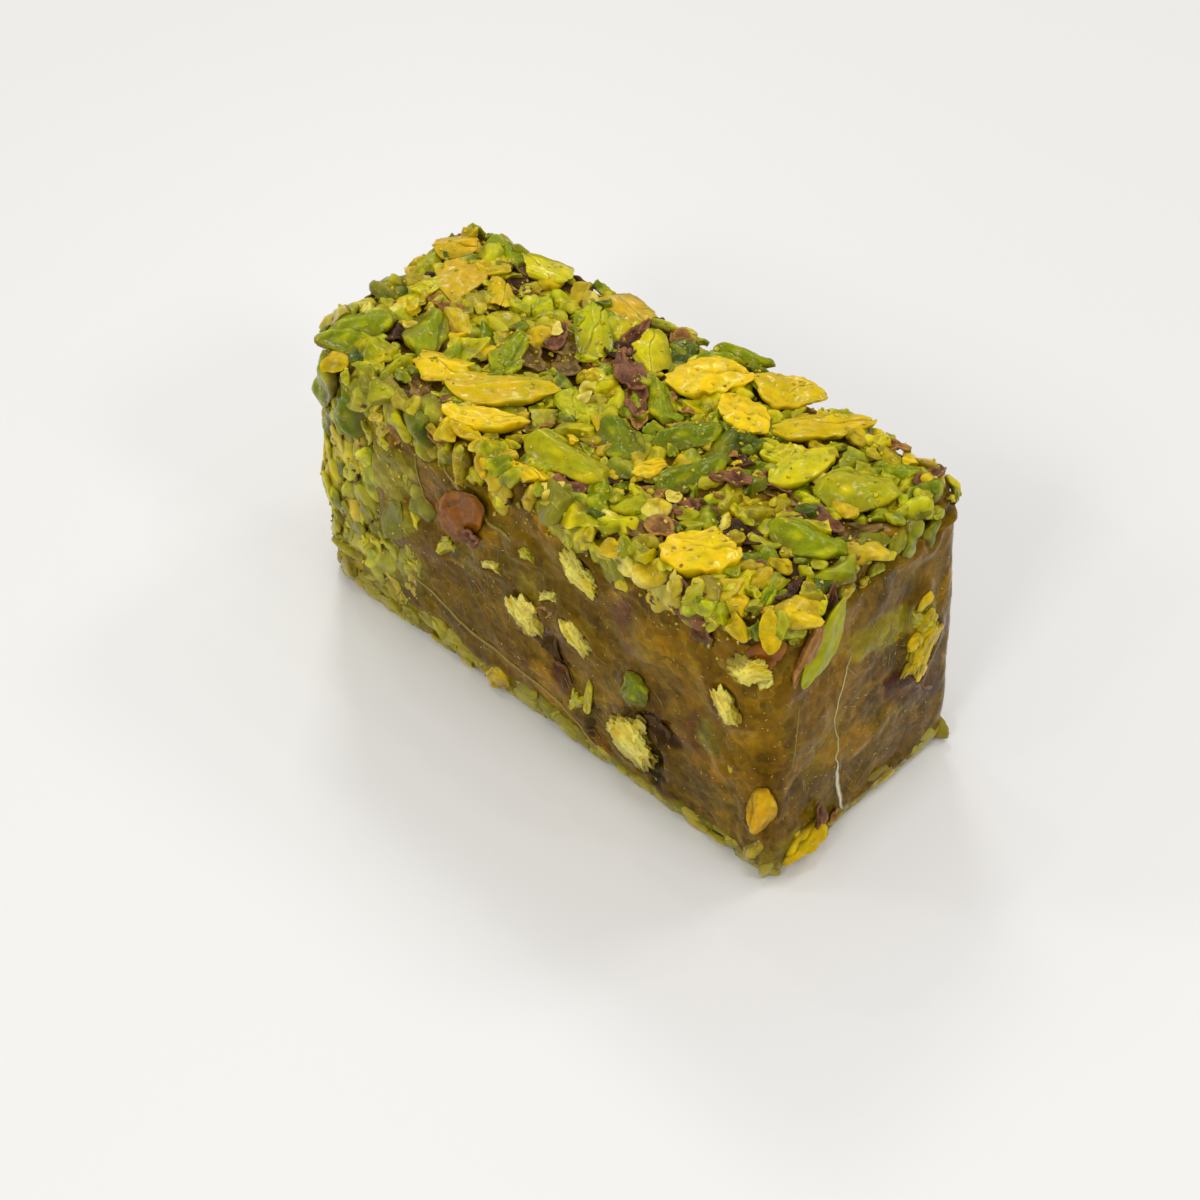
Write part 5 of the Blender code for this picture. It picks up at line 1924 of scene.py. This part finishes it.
    def specks(self, finish: Material) -> None:
        """Lays the gold specks on the finished jelly: partly crumbs, partly painted glints.

        Args:
            finish: Their material.
        """
        heap = Heap()
        for seat, light in self.waiting:
            place, normal, _, _ = self.jelly.tree.find_nearest(Vector(seat.place * MM))
            seat.place = np.array(place) / MM - np.array(normal) * 0.3 * seat.size[2]
            heap.add(self._pick("crumb_"), seat, GOLD if self.draw.random() < 0.85 else LIME, light)
        heap.build("gold_specks_and_glints", finish, "jelly", crisp=True)


# ---------------------------------------------------------------- threads of film


@dataclass
class Threads:
    """Thin threads and edges of film that run over the jelly, the pale ones partly painted highlights along the folds.
    """

    jelly: Jelly
    step: float = 0.7

    # face, u, v, heading, length, bend in degrees a step, radius, colour
    LAID = (
        (END, -12.6, 29.0, -98.0, 12.0, 1.0, 0.08, shade(150, 126, 62)),
        (NEAR, -15.4, 37.4, -40.0, 16.0, 1.2, 0.36, shade(136, 114, 34)),
        (NEAR, -20.4, 36.0, -86.0, 12.0, 0.4, 0.16, shade(136, 116, 34)),
        (NEAR, -26.0, 13.4, -18.0, 44.0, 0.1, 0.28, shade(142, 120, 56)),
    )
    # the long crease on the cut end, its pale colour a painted highlight along the fold: radius, colour and the places
    # it passes
    CREASES = (
        (0.1, shade(200, 182, 126), ((-2.7, 30.0), (-3.7, 28.0), (-5.4, 23.8), (-6.0, 20.6), (-5.4, 17.3))),
        (0.13, shade(190, 172, 112), ((-5.8, 19.6), (-5.2, 16.8), (-5.5, 13.4), (-4.6, 8.6), (-3.9, 4.2), (-3.6, 1.0))),
        (0.26, shade(218, 210, 188), ((-5.4, 12.4), (-5.0, 8.8), (-4.3, 4.4), (-3.8, 1.2))),
    )
    # short pale strokes: partly thin film edges, partly painted highlights along the folds
    # face, range of u, range of v, heading, spread, how many
    STREWN = (
        (NEAR, (-24.0, 38.0), (8.0, 34.0), -56.0, 26.0, 34),
        (END, (-17.0, 17.0), (4.0, 36.0), -62.0, 30.0, 20),
        (FAR, (-38.0, 40.0), (6.0, 34.0), -60.0, 30.0, 10),
    )

    def _walk(self, face: Face, u: float, v: float, heading: float, length: float, bend: float) -> list[Vector]:
        """Follows the jelly's face from a place, in a given heading.

        Args:
            face: The face.
            u: Start along the face.
            v: Start across it.
            heading: The way it runs, in degrees.
            length: How far it runs.
            bend: How far it turns at each step, in degrees.

        Returns:
            The places it passes, in metres.
        """
        found = []
        for _ in range(max(3, int(length / self.step))):
            place = self.jelly.tree.ray_cast(*face.ray(u, v))[0]
            if place is None or v < 0.6:
                break
            found.append(place)
            u += self.step * math.cos(math.radians(heading))
            v += self.step * math.sin(math.radians(heading))
            heading += bend + 6.0 * noise.noise((u * 0.5, v * 0.5, 3.0))
        return found

    def _trace(self, places: Sequence[tuple[float, float]]) -> list[Vector]:
        """Follows the cut end through the given places.

        Args:
            places: The places, along the end and up.

        Returns:
            The places it passes, in metres.
        """
        found = []
        for (u, v), (next_u, next_v) in zip(places, places[1:]):
            for share in np.arange(0.0, 1.0, 0.2):
                y, z = u + (next_u - u) * share, v + (next_v - v) * share
                y += 0.25 * noise.noise((z * 0.7, 4.0, 1.0))
                place = self.jelly.tree.ray_cast(*END.ray(y, z))[0]
                if place is not None:
                    found.append(place)
        return found

    def build(self, finish: Material) -> None:
        """Makes the threads as one curve with a round section, turned into a mesh.

        Args:
            finish: Their material.
        """
        draw = np.random.default_rng(SEED + 9)
        rows = list(self.LAID)
        for face, across, tall, heading, spread, count in self.STREWN:
            for _ in range(count):
                tone = draw.uniform(0.75, 1.1)
                rows.append((
                    face, draw.uniform(*across), draw.uniform(*tall), heading + draw.normal() * spread,
                    draw.uniform(2.0, 4.6), draw.normal() * 3.0, draw.uniform(0.04, 0.08),
                    tuple(np.array(shade(156, 130, 62)) * tone),
                ))
        curve = bpy.data.curves.new("film_threads_and_highlights", "CURVE")
        curve.dimensions = "3D"
        curve.bevel_depth = MM
        curve.bevel_resolution = 1
        curve.use_fill_caps = True
        tones = []
        walks = [(self._trace(places), radius, colour) for radius, colour, places in self.CREASES]
        for face, u, v, heading, length, bend, radius, colour in rows:
            walks.append((self._walk(face, u, v, heading, length, bend), radius, colour))
        for walk, radius, colour in walks:
            if len(walk) < 3:
                continue
            spline = curve.splines.new("POLY")
            spline.points.add(len(walk) - 1)
            for number, place in enumerate(walk):
                share = number / (len(walk) - 1)
                spline.points[number].co = (*place, 1.0)
                spline.points[number].radius = radius * (0.25 + 0.75 * math.sin(math.pi * share) ** 0.6)
            tones.append((np.array([tuple(place) for place in walk]), colour))
        linked("film_threads_and_highlights", curve)
        bpy.ops.object.convert(target="MESH")
        piece = bpy.context.active_object
        edit(piece, bpy.ops.mesh.remove_doubles, threshold=1e-7)
        edit(piece, bpy.ops.mesh.normals_make_consistent, inside=False)
        points = read_points(piece.data)
        colours, least = np.zeros((len(points), 3)), np.full(len(points), 1.0)
        for walk, colour in tones:
            gap = np.min(np.linalg.norm(points[:, None] - walk[None], axis=2), axis=1)
            colours[gap < least] = colour
            least = np.minimum(least, gap)
        paint(piece.data, colours)
        keep(piece, finish)


# ---------------------------------------------------------------- the studio


def aim(thing: Object, place: Vector, target: Vector) -> None:
    """Stands a light or a camera at a place, turned to its target."""
    thing.location = place
    thing.rotation_euler = (target - place).to_track_quat("-Z", "Y").to_euler()


@dataclass(frozen=True)
class Lamp:
    """A square soft light: where it hangs, its side in metres, its power in watts and its colour."""

    name: str
    place: tuple[float, float, float]
    side: float
    power: float
    colour: Colour = (1.0, 1.0, 1.0)

    def hang(self, target: Vector) -> None:
        """Hangs the light.

        Args:
            target: The place it is turned to.
        """
        light = bpy.data.lights.new(self.name, "AREA")
        light.shape = "SQUARE"
        light.size = self.side
        light.energy = self.power
        light.color = self.colour
        aim(linked(self.name, light), Vector(self.place), target)


@dataclass
class Studio:
    """The plain pale floor, the soft light and the camera at the photograph's angle."""

    camera_place: tuple[float, float, float] = (129.73, -145.56, 207.56)
    camera_target: tuple[float, float, float] = (-8.31, 4.60, 0.0)
    lens: float = 60.0
    frame_side: float = 36.0
    lamps: tuple[Lamp, ...] = (
        Lamp("panel_left_back", (-0.42, 0.36, 0.58), 0.15, 0.85),
        Lamp("panel_back", (0.16, 0.52, 0.6), 0.15, 0.66),
        Lamp("panel_over", (-0.05, -0.02, 0.85), 0.18, 1.15),
        Lamp("panel_right", (0.56, 0.02, 0.5), 0.15, 0.72),
        Lamp("panel_front", (0.1, -0.58, 0.46), 0.15, 1.0),
        Lamp("panel_left_front", (-0.5, -0.36, 0.34), 0.12, 0.5),
        Lamp("bulb_left", (-0.34, 0.1, 0.62), 0.012, 0.11),
        Lamp("bulb_back", (0.02, 0.38, 0.66), 0.012, 0.11),
        Lamp("bulb_right", (0.34, 0.18, 0.6), 0.012, 0.11),
        Lamp("bulb_front", (0.28, -0.36, 0.5), 0.012, 0.11),
        Lamp("bulb_near", (-0.12, -0.46, 0.46), 0.012, 0.11),
    )
    sky: Colour = (1.0, 0.99, 0.97)
    sky_strength: float = 0.48
    floor_side: float = 6.0
    floor_colour: Colour = (0.8, 0.79, 0.775)
    floor_roughness: float = 0.4

    def build(self) -> None:
        """Makes the floor, the lights and the camera."""
        floor = start(bpy.ops.mesh.primitive_plane_add, size=self.floor_side)
        floor.name = "floor"
        material = bpy.data.materials.new("floor")
        material.use_nodes = True
        shader = material.node_tree.nodes["Principled BSDF"]
        shader.inputs["Base Color"].default_value = (*self.floor_colour, 1.0)
        shader.inputs["Roughness"].default_value = self.floor_roughness
        floor.data.materials.append(material)

        world = bpy.data.worlds.new("studio")
        world.use_nodes = True
        background = world.node_tree.nodes["Background"]
        background.inputs["Color"].default_value = (*self.sky, 1.0)
        background.inputs["Strength"].default_value = self.sky_strength
        bpy.context.scene.world = world
        for lamp in self.lamps:
            lamp.hang(Vector((0.0, 0.0, 0.02)))

        camera = linked("camera", bpy.data.cameras.new("camera"))
        camera.data.lens = self.lens
        camera.data.sensor_width = camera.data.sensor_height = self.frame_side
        camera.data.clip_start = 0.01
        aim(camera, Vector(self.camera_place) * MM, Vector(self.camera_target) * MM)
        bpy.context.scene.camera = camera
        bpy.context.scene.view_settings.view_transform = "Standard"


def main() -> None:
    """Builds every piece in order."""
    logging.basicConfig(level=logging.INFO, format="%(message)s")
    Studio().build()
    forms = FormMaker().every()
    jelly, laid = Jelly(), Footprints()
    jelly.build()
    LOG.info("jelly skin and %d forms ready", len(forms))
    kernel, chip = KERNEL.make(), CHIP.make()
    skin = SKIN.make()
    Kernels(jelly, forms, laid).build(kernel, SIDE.make())
    SmallPieces(jelly, forms, laid).build(kernel, skin)
    chopped = Chopped(jelly, forms, laid)
    chopped.build(chip, PRESSED.make(), skin)
    jelly.dress(JELLY.make(), laid)
    chopped.specks(chip)
    chopped.dust_and_glints(chip)
    Threads(jelly).build(THREAD.make())


if __name__ == "__main__":
    main()
